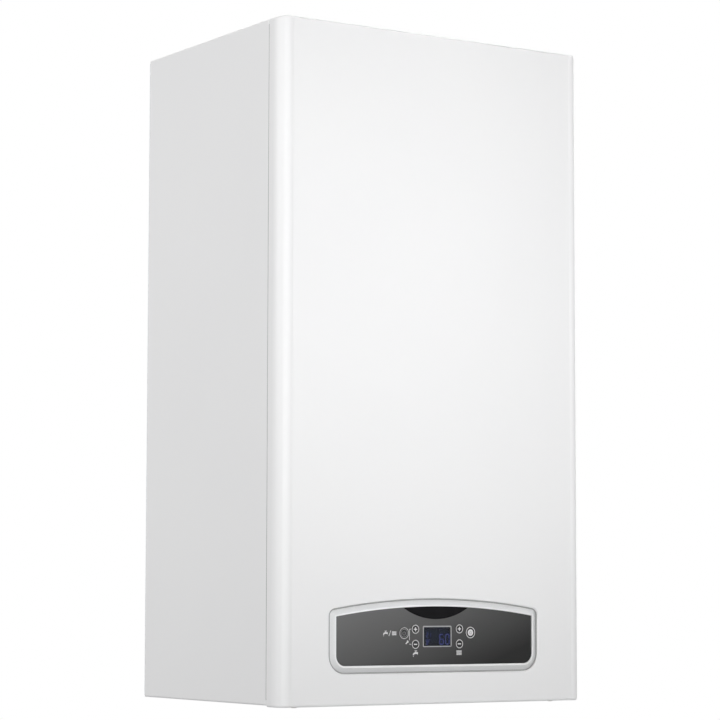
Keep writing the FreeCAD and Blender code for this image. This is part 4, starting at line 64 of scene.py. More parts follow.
# Studio. White sweep behind the boiler and a pale floor well below it, as it hangs on a wall. Two far lamps
# light it from the front left and the front, unseen in reflections, so that no hard glint lies on its edges;
# weak lamps stand to the left, at the back right and above.
world = bpy.data.worlds.new("studio")
world.use_nodes = True
bpy.context.scene.world = world
sky = world.node_tree
paths = sky.nodes.new("ShaderNodeLightPath")
seen = sky.nodes.new("ShaderNodeMath")
seen.operation = "ADD"
sky.links.new(paths.outputs["Is Camera Ray"], seen.inputs[0])
sky.links.new(paths.outputs["Is Glossy Ray"], seen.inputs[1])
through = sky.nodes.new("ShaderNodeMath")
through.operation = "ADD"
through.use_clamp = True
sky.links.new(seen.outputs[0], through.inputs[0])
sky.links.new(paths.outputs["Is Transmission Ray"], through.inputs[1])
level = sky.nodes.new("ShaderNodeMapRange")
level.inputs["To Min"].default_value = 0.40
level.inputs["To Max"].default_value = 1.0
sky.links.new(through.outputs[0], level.inputs["Value"])
sky.links.new(level.outputs["Result"], sky.nodes["Background"].inputs["Strength"])
sky.nodes["Background"].inputs["Color"].default_value = (1.0, 1.0, 1.0, 1.0)

bpy.ops.mesh.primitive_plane_add(size=5.0, location=(0.0, -0.2, -1.15))
floor = bpy.context.object
floor.name = "studio_floor"
floor_paint = bpy.data.materials.new("studio_floor_paint")
floor_paint.use_nodes = True
floor_shader = floor_paint.node_tree.nodes["Principled BSDF"]
floor_shader.inputs["Base Color"].default_value = (0.70, 0.70, 0.70, 1.0)
floor_shader.inputs["Roughness"].default_value = 0.9
floor_shader.inputs["Emission Color"].default_value = (1.0, 1.0, 1.0, 1.0)
floor_paths = floor_paint.node_tree.nodes.new("ShaderNodeLightPath")
floor_seen = floor_paint.node_tree.nodes.new("ShaderNodeMapRange")
floor_seen.inputs["To Max"].default_value = 0.42
floor_paint.node_tree.links.new(floor_paths.outputs["Is Camera Ray"], floor_seen.inputs["Value"])
floor_paint.node_tree.links.new(floor_seen.outputs["Result"], floor_shader.inputs["Emission Strength"])
floor.data.materials.append(floor_paint)


def soft_lamp(name, place, aim, side, power, spread):
    """A square lamp turned towards its aim; its side is in metres and the spread of its beam in degrees."""
    bpy.ops.object.light_add(type="AREA", location=place)
    lamp = bpy.context.object
    lamp.name = name
    lamp.data.shape = "SQUARE"
    lamp.data.size = side
    lamp.data.energy = power
    lamp.data.spread = math.radians(spread)
    lamp.rotation_euler = (Vector(aim) - Vector(place)).to_track_quat("-Z", "Y").to_euler()
    return lamp


key_lamp = soft_lamp("key_lamp", (-4.7, -3.75, 0.5), (-0.1, -0.27, -0.14),
                     side=2.0, power=3.8, spread=24.0)
front_lamp = soft_lamp("front_lamp", (-0.5, -6.0, 0.3), (-0.06, -0.3, -0.22),
                       side=0.9, power=1.85, spread=15.5)
for lamp in (key_lamp, front_lamp):
    lamp.visible_glossy = False
soft_lamp("left_lamp", (-2.0, 0.4, 0.35), (-0.2, -0.15, -0.1), side=1.0, power=7.0, spread=180.0)
soft_lamp("right_lamp", (1.9, 1.6, 0.4), (0.2, -0.1, -0.3), side=1.0, power=14.0, spread=180.0)
soft_lamp("top_lamp", (0.0, -0.4, 2.2), (0.0, -0.2, 0.0), side=1.4, power=2.6, spread=180.0)


# Front casing and side panels. Pressed and folded steel sheet, 1 mm thick, with a satin white powder coat
# that shows a faint orange peel. The casing has rolled upright edges, hangs on two catches and is held by two
# screws below.
def coat_of(name, tone, roughness):
    """A material with its Principled shader set to that colour and roughness."""
    material = bpy.data.materials.new(name)
    material.use_nodes = True
    shader = material.node_tree.nodes["Principled BSDF"]
    shader.inputs["Base Color"].default_value = (*tone, 1.0)
    shader.inputs["Roughness"].default_value = roughness
    return material, material.node_tree, shader


def grain(tree, scale, detail):
    """Noise that sits still on the piece; scale is in cycles per metre."""
    place = tree.nodes.new("ShaderNodeTexCoord")
    noise = tree.nodes.new("ShaderNodeTexNoise")
    noise.inputs["Scale"].default_value = scale
    noise.inputs["Detail"].default_value = detail
    tree.links.new(place.outputs["Object"], noise.inputs["Vector"])
    return noise.outputs["Fac"]


def tint(tree, value, shader, dark, light):
    """The base colour runs from dark to light with the value."""
    ramp = tree.nodes.new("ShaderNodeValToRGB")
    ramp.color_ramp.elements[0].position = 0.3
    ramp.color_ramp.elements[1].position = 0.7
    ramp.color_ramp.elements[0].color = (*dark, 1.0)
    ramp.color_ramp.elements[1].color = (*light, 1.0)
    tree.links.new(value, ramp.inputs["Fac"])
    tree.links.new(ramp.outputs["Color"], shader.inputs["Base Color"])


def dull(tree, value, shader, low, high):
    """The roughness runs from low to high with the value."""
    spread = tree.nodes.new("ShaderNodeMapRange")
    spread.inputs["To Min"].default_value = low
    spread.inputs["To Max"].default_value = high
    tree.links.new(value, spread.inputs["Value"])
    tree.links.new(spread.outputs["Result"], shader.inputs["Roughness"])


def raise_by(tree, value, shader, strength, height):
    """The surface is raised by the value, up to that height in metres."""
    bump = tree.nodes.new("ShaderNodeBump")
    bump.inputs["Strength"].default_value = strength
    bump.inputs["Distance"].default_value = height
    tree.links.new(value, bump.inputs["Height"])
    tree.links.new(bump.outputs["Normal"], shader.inputs["Normal"])


def dressed(material, *names):
    """Gives that material to the CAD nodes of those names."""
    for name in names:
        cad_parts[name].material_slots[0].material = material


white_coat, tree, shader = coat_of("white_powder_coat", (0.86, 0.86, 0.865), 0.36)
tint(tree, grain(tree, 3.0, 2.0), shader, (0.855, 0.856, 0.862), (0.875, 0.875, 0.878))
dull(tree, grain(tree, 14.0, 3.0), shader, 0.32, 0.42)
raise_by(tree, grain(tree, 650.0, 1.0), shader, 0.10, 0.00015)
dressed(white_coat, "front_casing", "side_panel_left", "side_panel_right")


# Rear frame, top and bottom plates, catches and hinge brackets. Folded galvanised sheet, with the leafy
# spangle of hot-dip zinc and a slightly cloudy gloss.
def zinc_sheet(name, dark, light):
    """Metal sheet with feathered crystals, each in its own shade and gloss."""
    material, tree, shader = coat_of(name, light, 0.4)
    shader.inputs["Metallic"].default_value = 1.0
    place = tree.nodes.new("ShaderNodeTexCoord")
    feather = tree.nodes.new("ShaderNodeVectorMath")
    feather.operation = "MULTIPLY_ADD"
    feather.inputs[1].default_value = (0.007, 0.007, 0.007)
    tree.links.new(grain(tree, 330.0, 4.0), feather.inputs[0])
    tree.links.new(place.outputs["Object"], feather.inputs[2])
    leaf = tree.nodes.new("ShaderNodeTexVoronoi")
    leaf.inputs["Scale"].default_value = 190.0
    leaf.inputs["Randomness"].default_value = 1.0
    tree.links.new(feather.outputs["Vector"], leaf.inputs["Vector"])
    shade = tree.nodes.new("ShaderNodeSeparateColor")
    tree.links.new(leaf.outputs["Color"], shade.inputs["Color"])
    tint(tree, shade.outputs["Red"], shader, dark, light)
    dull(tree, shade.outputs["Green"], shader, 0.34, 0.46)
    raise_by(tree, grain(tree, 240.0, 3.0), shader, 0.08, 0.0002)
    return material


frame_zinc = zinc_sheet("frame_zinc", (0.595, 0.615, 0.635), (0.66, 0.68, 0.70))
dressed(frame_zinc, "rear_frame", "top_plate", "bottom_plate", "casing_catches", "hinge_brackets")


# Sheet screws, control screws and hinge pins. Pressed steel with a bright zinc plating that has gone slightly
# yellow. The sheet screws have pan heads with a cross recess and are driven through both sheets.
def only(piece):
    """Selects that piece alone and makes it the active one."""
    bpy.ops.object.select_all(action="DESELECT")
    piece.select_set(True)
    bpy.context.view_layer.objects.active = piece


speck, weld_gap, smooth_below = 0.001, 0.000002, math.radians(35)


def turned(name, profile, steps):
    """A solid turned about the upright axis; the profile gives radius and height in metres."""
    bpy.ops.object.select_all(action="DESELECT")
    bpy.ops.mesh.primitive_plane_add(size=speck)
    piece = bpy.context.object
    piece.name = name
    bpy.ops.object.mode_set(mode="EDIT")
    bpy.ops.mesh.merge(type="CENTER")
    bpy.ops.transform.translate(value=(profile[0][0], 0.0, profile[0][1]))
    for before, after in zip(profile, profile[1:]):
        step = (after[0] - before[0], 0.0, after[1] - before[1])
        bpy.ops.mesh.extrude_region_move(TRANSFORM_OT_translate={"value": step})
    bpy.ops.mesh.select_all(action="SELECT")
    bpy.ops.mesh.spin(steps=steps, angle=math.tau, center=(0.0, 0.0, 0.0), axis=(0.0, 0.0, 1.0))
    bpy.ops.mesh.select_all(action="SELECT")
    bpy.ops.mesh.remove_doubles(threshold=weld_gap)
    bpy.ops.mesh.normals_make_consistent(inside=False)
    bpy.ops.object.mode_set(mode="OBJECT")
    bpy.ops.object.shade_smooth_by_angle(angle=smooth_below)
    return piece


def shaped_by(piece, tool, operation):
    """Cuts the piece down with a tool body, which is used up."""
    only(piece)
    cut = piece.modifiers.new("cut", "BOOLEAN")
    cut.operation = operation
    cut.solver = "EXACT"
    cut.object = tool
    bpy.ops.object.modifier_apply(modifier=cut.name)
    only(tool)
    bpy.ops.object.delete()
    only(piece)


def seated(piece, place, turn):
    """Moves and turns the piece, with its place kept in its mesh."""
    only(piece)
    piece.location = place
    piece.rotation_euler = turn
    bpy.ops.object.transform_apply(location=True, rotation=True, scale=True)


def another(piece, place, turn):
    """A copy of the piece, seated at that place."""
    only(piece)
    bpy.ops.object.duplicate()
    copy = bpy.context.object
    seated(copy, place, turn)
    return copy


def assembled(name, pieces):
    """Joins the pieces into one under that name."""
    only(pieces[0])
    for piece in pieces[1:]:
        piece.select_set(True)
    bpy.ops.object.join()
    pieces[0].name = name
    return pieces[0]


def finished(piece, material, body):
    """Gives the piece its material, body and slot."""
    piece.data.materials.clear()
    piece.data.materials.append(material)
    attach(piece, body)


def pan_screw(head, shank):
    """One screw, head up, with the seat of its head at the origin; head and shank are its two heights."""
    head_radius, shank_radius, end_radius, chamfer = 0.0040, 0.0020, 0.0016, 0.0004
    recess_length, recess_width, recess_share = 0.0044, 0.0009, 0.6
    dome = ((0.0, 1.0), (0.30, 0.97), (0.60, 0.84), (0.85, 0.55), (1.0, 0.20), (1.0, 0.0))
    profile = [(head_radius * out, head * up) for out, up in dome]
    profile += [(shank_radius, 0.0), (shank_radius, chamfer - shank), (end_radius, -shank), (0.0, -shank)]
    screw = turned("pan_screw", profile, steps=24)
    for across, along in ((recess_length, recess_width), (recess_width, recess_length)):
        bpy.ops.object.select_all(action="DESELECT")
        bpy.ops.mesh.primitive_cube_add(size=1.0, location=(0.0, 0.0, head))
        blade = bpy.context.object
        blade.scale = (across, along, head * recess_share * 2)
        bpy.ops.object.transform_apply(location=True, rotation=True, scale=True)
        shaped_by(screw, blade, "DIFFERENCE")
    return screw


to_front, upright, downwards = (math.pi / 2, 0.0, 0.0), (0.0, 0.0, 0.0), (math.pi, 0.0, 0.0)
head_height, casing_head_height = 0.0018, 0.0012
rear_places = [((x, -0.0022, z), to_front) for x in (-0.193, 0.193) for z in (-0.626, -0.33, -0.034)]
top_places = [((x, y, 0.04), upright) for x in (-0.193, 0.193) for y in (-0.06775, -0.20325)]
sideways_places = [((x, -0.0122, z), (0.0, math.copysign(math.pi / 2, x), 0.0))
                   for x in (-0.1852, 0.1852) for z in (-0.6415, -0.2001)]
cover_places = [((x, -0.2652, z), to_front)
                for x in (-0.178, 0.178) for z in (-0.4095, -0.2715, -0.1287, 0.0093)]
casing_places = [((x, -0.28, -0.7003), downwards) for x in (-0.17, 0.17)]
screws = []
for head, shank, places in (
    (head_height, 0.0022, rear_places), (head_height, 0.0052, top_places),
    (head_height, 0.0054, sideways_places), (head_height, 0.0032, cover_places),
    (casing_head_height, 0.0080, casing_places),
):
    pattern = pan_screw(head, shank)
    screws += [another(pattern, place, turn) for place, turn in places]
    only(pattern)
    bpy.ops.object.delete()
sheet_screws = assembled("pan_head_screws", screws)
plated_steel, tree, shader = coat_of("plated_steel", (0.74, 0.72, 0.66), 0.3)
shader.inputs["Metallic"].default_value = 1.0
tint(tree, grain(tree, 160.0, 2.0), shader, (0.62, 0.60, 0.54), (0.80, 0.78, 0.72))
dull(tree, grain(tree, 900.0, 2.0), shader, 0.22, 0.42)
raise_by(tree, grain(tree, 2400.0, 1.0), shader, 0.1, 0.0001)
dressed(plated_steel, "control_screws", "hinge_pins")
finished(sheet_screws, plated_steel, "frame")
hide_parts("sheet_screws")

# Painted shadow in the seams beside the casing: grey strips with a fine grain on the front flange of each
# side panel, with a bead that fills the seam, stand in for the shade in the seam; the casing closes against
# them.
seam_painted_shadow, tree, shader = coat_of("seam_painted_shadow", (0.35, 0.35, 0.35), 0.9)
tint(tree, grain(tree, 900.0, 3.0), shader, (0.32, 0.32, 0.32), (0.38, 0.38, 0.38))
raise_by(tree, grain(tree, 2400.0, 2.0), shader, 0.4, 0.0002)
panel_low, panel_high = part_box("side_panel_left")
strip_depth, strip_width, bead_width, bead_depth = 0.00052, 0.0112, 0.0005, 0.00045
edge_setback, ends_setback, nearly_square = 0.00006, 0.012, 0.9
bead_x = panel_low[0] + edge_setback + bead_width
bpy.ops.object.select_all(action="DESELECT")
bpy.ops.mesh.primitive_cube_add(size=1.0)
seam_painted_shadow_strips = bpy.context.object
seam_painted_shadow_strips.name = "casing_seam_painted_shadow"
bpy.ops.object.mode_set(mode="EDIT")
bpy.ops.transform.resize(value=(strip_width, strip_depth, panel_high[2] - panel_low[2] - ends_setback))
bpy.ops.transform.translate(value=(bead_x - bead_width + strip_width / 2, panel_low[1] - strip_depth / 2,
                                   (panel_low[2] + panel_high[2]) / 2))
bpy.ops.mesh.bisect(plane_co=(bead_x, 0.0, 0.0), plane_no=(1.0, 0.0, 0.0))
bpy.ops.mesh.select_mode(type="FACE")
bpy.ops.mesh.select_all(action="DESELECT")
bpy.ops.object.mode_set(mode="OBJECT")
for face in seam_painted_shadow_strips.data.polygons:
    face.select = face.normal.y > nearly_square and face.center.x < bead_x
bpy.ops.object.mode_set(mode="EDIT")
bpy.ops.mesh.extrude_region_move(TRANSFORM_OT_translate={"value": (0.0, bead_depth, 0.0)})
bpy.ops.mesh.select_mode(type="VERT")
bpy.ops.mesh.select_all(action="SELECT")
bpy.ops.mesh.duplicate()
bpy.ops.transform.resize(value=(-1.0, 1.0, 1.0), center_override=(0.0, 0.0, 0.0))
bpy.ops.mesh.select_all(action="SELECT")
bpy.ops.mesh.normals_make_consistent(inside=False)
bpy.ops.object.mode_set(mode="OBJECT")
finished(seam_painted_shadow_strips, seam_painted_shadow, "frame")

# Flue collar and blanking caps on the top plate. The collar is drawn aluminium with a matt skin and a ribbed
# rubber lip in its mouth. The caps are pressed over the unused air holes, and are of the same black plastic
# as the cable gland, the diverter's actuator and the pressure switch.
collar_metal, tree, shader = coat_of("collar_aluminium", (0.74, 0.75, 0.76), 0.38)
shader.inputs["Metallic"].default_value = 1.0
tint(tree, grain(tree, 40.0, 4.0), shader, (0.62, 0.63, 0.64), (0.80, 0.81, 0.82))
dull(tree, grain(tree, 300.0, 3.0), shader, 0.3, 0.5)
raise_by(tree, grain(tree, 1200.0, 2.0), shader, 0.12, 0.0001)
dressed(collar_metal, "flue_collar")
seal_rubber, tree, shader = coat_of("seal_rubber", (0.012, 0.012, 0.013), 0.6)
tint(tree, grain(tree, 200.0, 3.0), shader, (0.009, 0.009, 0.010), (0.018, 0.018, 0.019))
raise_by(tree, grain(tree, 2200.0, 2.0), shader, 0.2, 0.0001)
collar_y = -0.154594
lip_profile = [(0.0485, 0.0500), (0.0485, 0.0590), (0.0478, 0.0590), (0.0466, 0.0572), (0.0478, 0.0566),
               (0.0476, 0.0546), (0.0466, 0.0532), (0.0478, 0.0526), (0.0478, 0.0500), (0.0485, 0.0500)]
collar_lip = turned("collar_lip", lip_profile, steps=96)
seated(collar_lip, (0.0, collar_y, 0.0), upright)
finished(collar_lip, seal_rubber, "frame")


def moulded(name, dark, light, roughness):
    """Plastic with a fine eroded grain and slight clouding."""
    material, tree, shader = coat_of(name, light, roughness)
    tint(tree, grain(tree, 30.0, 3.0), shader, dark, light)
    dull(tree, grain(tree, 220.0, 2.0), shader, roughness - 0.06, roughness + 0.08)
    raise_by(tree, grain(tree, 2600.0, 2.0), shader, 0.15, 0.0001)
    return material


black_moulding = moulded("black_moulding", (0.016, 0.016, 0.018), (0.030, 0.030, 0.033), 0.5)
dressed(black_moulding, "air_intake_caps", "cable_gland", "diverter_actuator", "pressure_switch")

# Expansion vessel. A flat vessel between the rear frame and the sealed chamber: deep-drawn steel shells,
# seam-welded and dipped in red enamel.
vessel_enamel, tree, shader = coat_of("vessel_enamel", (0.42, 0.03, 0.025), 0.34)
tint(tree, grain(tree, 12.0, 3.0), shader, (0.36, 0.022, 0.02), (0.46, 0.036, 0.03))
raise_by(tree, grain(tree, 420.0, 2.0), shader, 0.12, 0.0002)
dressed(vessel_enamel, "expansion_vessel")

# Sealed chamber with its cover, seal and flue hood. Folded aluminised sheet, brighter than the frame's zinc;
# the cover is screwed on over a strip of closed-cell foam rubber.
chamber_sheet = zinc_sheet("aluminised_sheet", (0.66, 0.67, 0.68), (0.73, 0.74, 0.75))
dressed(chamber_sheet, "chamber_body", "chamber_cover", "flue_hood")
seal_foam, tree, shader = coat_of("seal_foam", (0.03, 0.03, 0.03), 0.85)
tint(tree, grain(tree, 500.0, 3.0), shader, (0.018, 0.018, 0.018), (0.045, 0.045, 0.045))
raise_by(tree, grain(tree, 1500.0, 2.0), shader, 0.4, 0.0003)
dressed(seal_foam, "chamber_seal")

# Burner tray, ramps, combustion chamber, plate heat exchanger and fan wheel. Pressed stainless sheet with the
# fine matt skin of the rolling mill, tinted straw in patches by the heat.
stainless, tree, shader = coat_of("stainless_sheet", (0.66, 0.63, 0.58), 0.32)
shader.inputs["Metallic"].default_value = 1.0
tint(tree, grain(tree, 22.0, 3.0), shader, (0.56, 0.52, 0.45), (0.72, 0.70, 0.66))
dull(tree, grain(tree, 700.0, 2.0), shader, 0.24, 0.42)
raise_by(tree, grain(tree, 1800.0, 1.0), shader, 0.1, 0.0001)
dressed(stainless, "burner_tray", "burner_ramps", "combustion_chamber", "plate_exchanger", "fan_wheel")

# Insulation boards and electrodes. The boards are pressed ceramic fibre with a soft broken surface, and line
# the combustion chamber; the electrodes have white glazed sleeves.
fibre_board, tree, shader = coat_of("ceramic_fibre", (0.80, 0.77, 0.70), 0.95)
tint(tree, grain(tree, 90.0, 5.0), shader, (0.72, 0.69, 0.61), (0.84, 0.82, 0.76))
raise_by(tree, grain(tree, 600.0, 4.0), shader, 0.5, 0.0006)
dressed(fibre_board, "insulation_boards")
glazed_ceramic, tree, shader = coat_of("glazed_ceramic", (0.84, 0.82, 0.77), 0.14)
tint(tree, grain(tree, 120.0, 2.0), shader, (0.80, 0.78, 0.72), (0.87, 0.86, 0.82))
dressed(glazed_ceramic, "electrodes")

# Heat exchanger, gas pipes, heating pipes and vessel pipe. Bare copper, the pipes drawn and bent, the finned
# exchanger brazed together, all with darker tarnish in patches.
bare_copper, tree, shader = coat_of("bare_copper", (0.72, 0.36, 0.22), 0.3)
shader.inputs["Metallic"].default_value = 1.0
tint(tree, grain(tree, 26.0, 4.0), shader, (0.52, 0.24, 0.14), (0.80, 0.43, 0.28))
dull(tree, grain(tree, 70.0, 3.0), shader, 0.2, 0.42)
raise_by(tree, grain(tree, 900.0, 1.0), shader, 0.06, 0.0001)
dressed(bare_copper, "heat_exchanger", "gas_pipes", "heating_pipes", "vessel_pipe")


# Fan housing, gas manifold and gas valve. Pressure-cast aluminium with a fine granular skin, left bare as it
# comes from the mould.
def casting(name, dark, light, metallic, roughness):
    """Cast or hot-pressed skin, cloudy and granular, bare or under a thin coat."""
    material, tree, shader = coat_of(name, light, roughness)
    shader.inputs["Metallic"].default_value = metallic
    tint(tree, grain(tree, 55.0, 4.0), shader, dark, light)
    dull(tree, grain(tree, 260.0, 3.0), shader, roughness - 0.08, roughness + 0.1)
    raise_by(tree, grain(tree, 1100.0, 3.0), shader, 0.3, 0.0003)
    return material


cast_aluminium = casting("cast_aluminium", (0.54, 0.55, 0.56), (0.70, 0.71, 0.72), 1.0, 0.44)
dressed(cast_aluminium, "fan_housing", "gas_manifold", "gas_valve")

# Fan motor, pump motor and pump body. Iron castings under a sprayed coat of black enamel, through which the
# grain of the casting shows.
black_enamel = casting("black_enamel", (0.018, 0.018, 0.020), (0.034, 0.034, 0.038), 0.0, 0.42)
dressed(black_enamel, "fan_motor", "pump_body", "pump_motor")

# Flow and return blocks above the connections, with the diverter valve and the safety valve. Hot-pressed
# brass with a granular skin.
pressed_brass = casting("pressed_brass", (0.58, 0.42, 0.18), (0.74, 0.58, 0.29), 1.0, 0.36)
dressed(pressed_brass, "flow_block", "return_block")

# Connection stubs. Brass pipe ends turned from bar, three large and two small, with a pipe thread of 14 turns
# to the inch and a chamfered hexagon lock nut under the bottom plate.
turned_brass, tree, shader = coat_of("turned_brass", (0.78, 0.62, 0.31), 0.26)
shader.inputs["Metallic"].default_value = 1.0
tint(tree, grain(tree, 70.0, 3.0), shader, (0.68, 0.51, 0.23), (0.80, 0.65, 0.34))
dull(tree, grain(tree, 400.0, 2.0), shader, 0.2, 0.36)
stub_low, nut_low, nut_high, stub_high, stub_y = -0.694, -0.6612, -0.6552, -0.642, -0.06
thread_pitch, thread_depth, pipe_wall, end_chamfer, end_turning = 0.001814, 0.0006, 0.0032, 0.0005, 0.0004
crest_start, crest_end, root_start = 0.36 * thread_pitch, 0.52 * thread_pitch, 0.88 * thread_pitch
nut_reach, nut_face, nut_corner, nut_chamfer = 0.005, 0.0041, 0.0051, 0.0008
large_thread, small_thread = 0.01322, 0.01048
stub_threads = (
    (-0.13, large_thread), (-0.065, small_thread), (0.0, large_thread),
    (0.065, small_thread), (0.13, large_thread),
)
stubs = []
for across, radius in stub_threads:
    core, bore = radius - thread_depth, radius - pipe_wall
    start = stub_low + end_chamfer
    profile = [(bore, stub_low), (core - end_turning, stub_low), (core, start)]
    while start + thread_pitch < nut_low:
        profile += [(radius, start + crest_start), (radius, start + crest_end),
                    (core, start + root_start), (core, start + thread_pitch)]
        start += thread_pitch
    profile += [(core, stub_high), (bore, stub_high), (bore, stub_low)]
    stub = turned("stub", profile, steps=48)
    seated(stub, (across, stub_y, 0.0), upright)
    bpy.ops.object.select_all(action="DESELECT")
    bpy.ops.mesh.primitive_cylinder_add(vertices=6, radius=radius + nut_reach, depth=nut_high - nut_low,
                                        location=(0.0, 0.0, (nut_low + nut_high) / 2),
                                        rotation=(0.0, 0.0, math.radians(30)))
    nut = bpy.context.object
    bpy.ops.object.transform_apply(location=True, rotation=True, scale=True)
    face, corner = radius + nut_face, radius + nut_corner
    blank_profile = [(core, nut_low), (face, nut_low), (corner, nut_low + nut_chamfer),
                     (corner, nut_high - nut_chamfer), (face, nut_high), (core, nut_high), (core, nut_low)]
    blank = turned("nut_blank", blank_profile, steps=48)
    shaped_by(nut, blank, "INTERSECT")
    bpy.ops.object.shade_smooth_by_angle(angle=math.radians(25))
    seated(nut, (across, stub_y, 0.0), upright)
    stubs += [stub, nut]
threaded_stubs = assembled("threaded_stubs", stubs)
finished(threaded_stubs, turned_brass, "frame")
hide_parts("connection_stubs")

# Pump impeller, safety valve knob and filling tap. Plastic mouldings in pale grey, red and blue, coloured
# right through, each on its own shaft.
pale_moulding = moulded("pale_moulding", (0.74, 0.74, 0.73), (0.80, 0.80, 0.79), 0.42)
red_moulding = moulded("red_moulding", (0.42, 0.025, 0.02), (0.52, 0.035, 0.03), 0.4)
blue_moulding = moulded("blue_moulding", (0.02, 0.08, 0.30), (0.03, 0.11, 0.38), 0.4)
dressed(pale_moulding, "pump_impeller")
dressed(red_moulding, "safety_valve_knob")
dressed(blue_moulding, "filling_tap")

# Control housing and its rear cover. Grey flame-proof plastic, moulded with a fine grain; the cover is
# screwed on from behind.
grey_moulding = moulded("grey_moulding", (0.128, 0.128, 0.133), (0.142, 0.142, 0.147), 0.52)
dressed(grey_moulding, "control_housing", "control_cover")

# Control boards. Glass-fibre laminate under green solder mask, paler where copper lies under it; both boards
# stand on posts in the housing.
solder_mask, tree, shader = coat_of("solder_mask", (0.02, 0.16, 0.06), 0.3)
place = tree.nodes.new("ShaderNodeTexCoord")
lands = tree.nodes.new("ShaderNodeTexVoronoi")
lands.feature = "DISTANCE_TO_EDGE"
lands.inputs["Scale"].default_value = 180.0
tree.links.new(place.outputs["Object"], lands.inputs["Vector"])
tint(tree, lands.outputs["Distance"], shader, (0.04, 0.26, 0.11), (0.012, 0.11, 0.045))
dressed(solder_mask, "display_board", "main_board")

# Bezel. Moulded frame with a silver-white lacquer, sloping down to the casing. The lip round the fascia is a
# lighter lacquer, a painted highlight on the bezel's crest; the thin grey ring on its outer edge is a painted
# shadow line in the gap to the casing. Outlines on the panel are in millimetres, across from its middle and
# up from the casing's foot.
silver_lacquer, tree, shader = coat_of("silver_lacquer", (0.76, 0.765, 0.77), 0.3)
shader.inputs["Metallic"].default_value = 0.2
tint(tree, grain(tree, 1800.0, 2.0), shader, (0.72, 0.725, 0.73), (0.80, 0.805, 0.81))
dull(tree, grain(tree, 60.0, 2.0), shader, 0.26, 0.36)
dressed(silver_lacquer, "control_bezel")
casing_foot = -0.7
panel_half, panel_foot, panel_top, arch_radius = 137.5, 34.8, 113.7, 813.809
low_radius, top_radius, least_radius = 19.0, 7.0, 0.8


def drawing():
    """A new empty piece, open for drawing."""
    bpy.ops.object.select_all(action="DESELECT")
    bpy.ops.mesh.primitive_plane_add(size=speck)
    bpy.ops.object.mode_set(mode="EDIT")
    bpy.ops.mesh.delete(type="VERT")
    return bpy.context.object


def trace(outline, face, middle):
    """Draws the outline as a chain of edges in the plane of that face, across from that middle."""
    points = [Vector((across / 1000 + middle, face, up / 1000 + casing_foot)) for across, up in outline]
    bpy.ops.mesh.primitive_plane_add(size=speck)
    bpy.ops.mesh.merge(type="CENTER")
    bpy.ops.transform.translate(value=points[0])
    for before, after in zip(points, points[1:]):
        bpy.ops.mesh.extrude_region_move(TRANSFORM_OT_translate={"value": after - before})


def thickened(rise):
    """Closes the drawing: its faces are raised towards the front."""
    bpy.ops.mesh.select_all(action="SELECT")
    bpy.ops.mesh.extrude_region_move(TRANSFORM_OT_translate={"value": (0.0, -rise, 0.0)})
    bpy.ops.mesh.select_all(action="SELECT")
    bpy.ops.mesh.normals_make_consistent(inside=False)
    bpy.ops.object.mode_set(mode="OBJECT")


def rim(name, outer, inner, face, rise, middle):
    """A flat frame between two outlines that have the same number of points."""
    piece = drawing()
    piece.name = name
    trace(outer + outer[:1], face, middle)
    trace(inner + inner[:1], face, middle)
    bpy.ops.mesh.select_all(action="SELECT")
    bpy.ops.mesh.remove_doubles(threshold=weld_gap)
    bpy.ops.mesh.select_all(action="SELECT")
    bpy.ops.mesh.bridge_edge_loops()
    thickened(rise)
    return piece


def panel_edge(inset):
    """The panel's outline, drawn in by the inset: flat foot, upright sides, arched top."""
    half, foot, arch = panel_half - inset, panel_foot + inset, arch_radius - inset
    low, top = low_radius - inset, max(top_radius - inset, least_radius)
    arch_middle = panel_top - arch_radius
    turn_x = half - top
    turn_z = arch_middle + math.sqrt((arch - top) ** 2 - turn_x ** 2)
    lean = math.atan2(turn_z - arch_middle, turn_x)
    quarter = math.pi / 2
    points = []
    for x, z, radius, start, end, steps in (
        (half - low, foot + low, low, -quarter, 0.0, 12),
        (turn_x, turn_z, top, 0.0, lean, 6),
        (0.0, arch_middle, arch, lean, math.pi - lean, 60),
        (-turn_x, turn_z, top, math.pi - lean, math.pi, 6),
        (low - half, foot + low, low, math.pi, math.pi + quarter, 12),
    ):
        turns = [start + (end - start) * (step + 0.5) / steps for step in range(steps)]
        points += [(x + radius * math.cos(turn), z + radius * math.sin(turn)) for turn in turns]
    return points


# A painted highlight: the lip on the bezel's crest is a lighter copy of the bezel's lacquer.
lip_painted_highlight, tree, shader = coat_of("lip_painted_highlight", (0.90, 0.90, 0.905), 0.22)
tint(tree, grain(tree, 1800.0, 2.0), shader, (0.88, 0.88, 0.885), (0.92, 0.92, 0.925))
lip_face, lip_rise, lip_outer, lip_inner = -0.3005, 0.0002, 5.9, 7.55
bezel_painted_highlight = rim("bezel_painted_highlight", panel_edge(lip_outer), panel_edge(lip_inner), lip_face, lip_rise, 0.0)
finished(bezel_painted_highlight, lip_painted_highlight, "control")
# A painted shadow line: a thin grey ring on the bezel's outer edge, where the gap to the casing lies in
# shade.
painted_shadow_grey, tree, shader = coat_of("painted_shadow_grey", (0.40, 0.40, 0.40), 0.7)
tint(tree, grain(tree, 800.0, 3.0), shader, (0.37, 0.37, 0.37), (0.43, 0.43, 0.43))
raise_by(tree, grain(tree, 2600.0, 2.0), shader, 0.2, 0.0001)
shadow_line_face, shadow_line_rise, shadow_line_half = -0.2977, 0.0008, 0.6
bezel_painted_shadow_line = rim("bezel_painted_shadow_line", panel_edge(-shadow_line_half), panel_edge(shadow_line_half), shadow_line_face,
                   shadow_line_rise, 0.0)
finished(bezel_painted_shadow_line, painted_shadow_grey, "control")
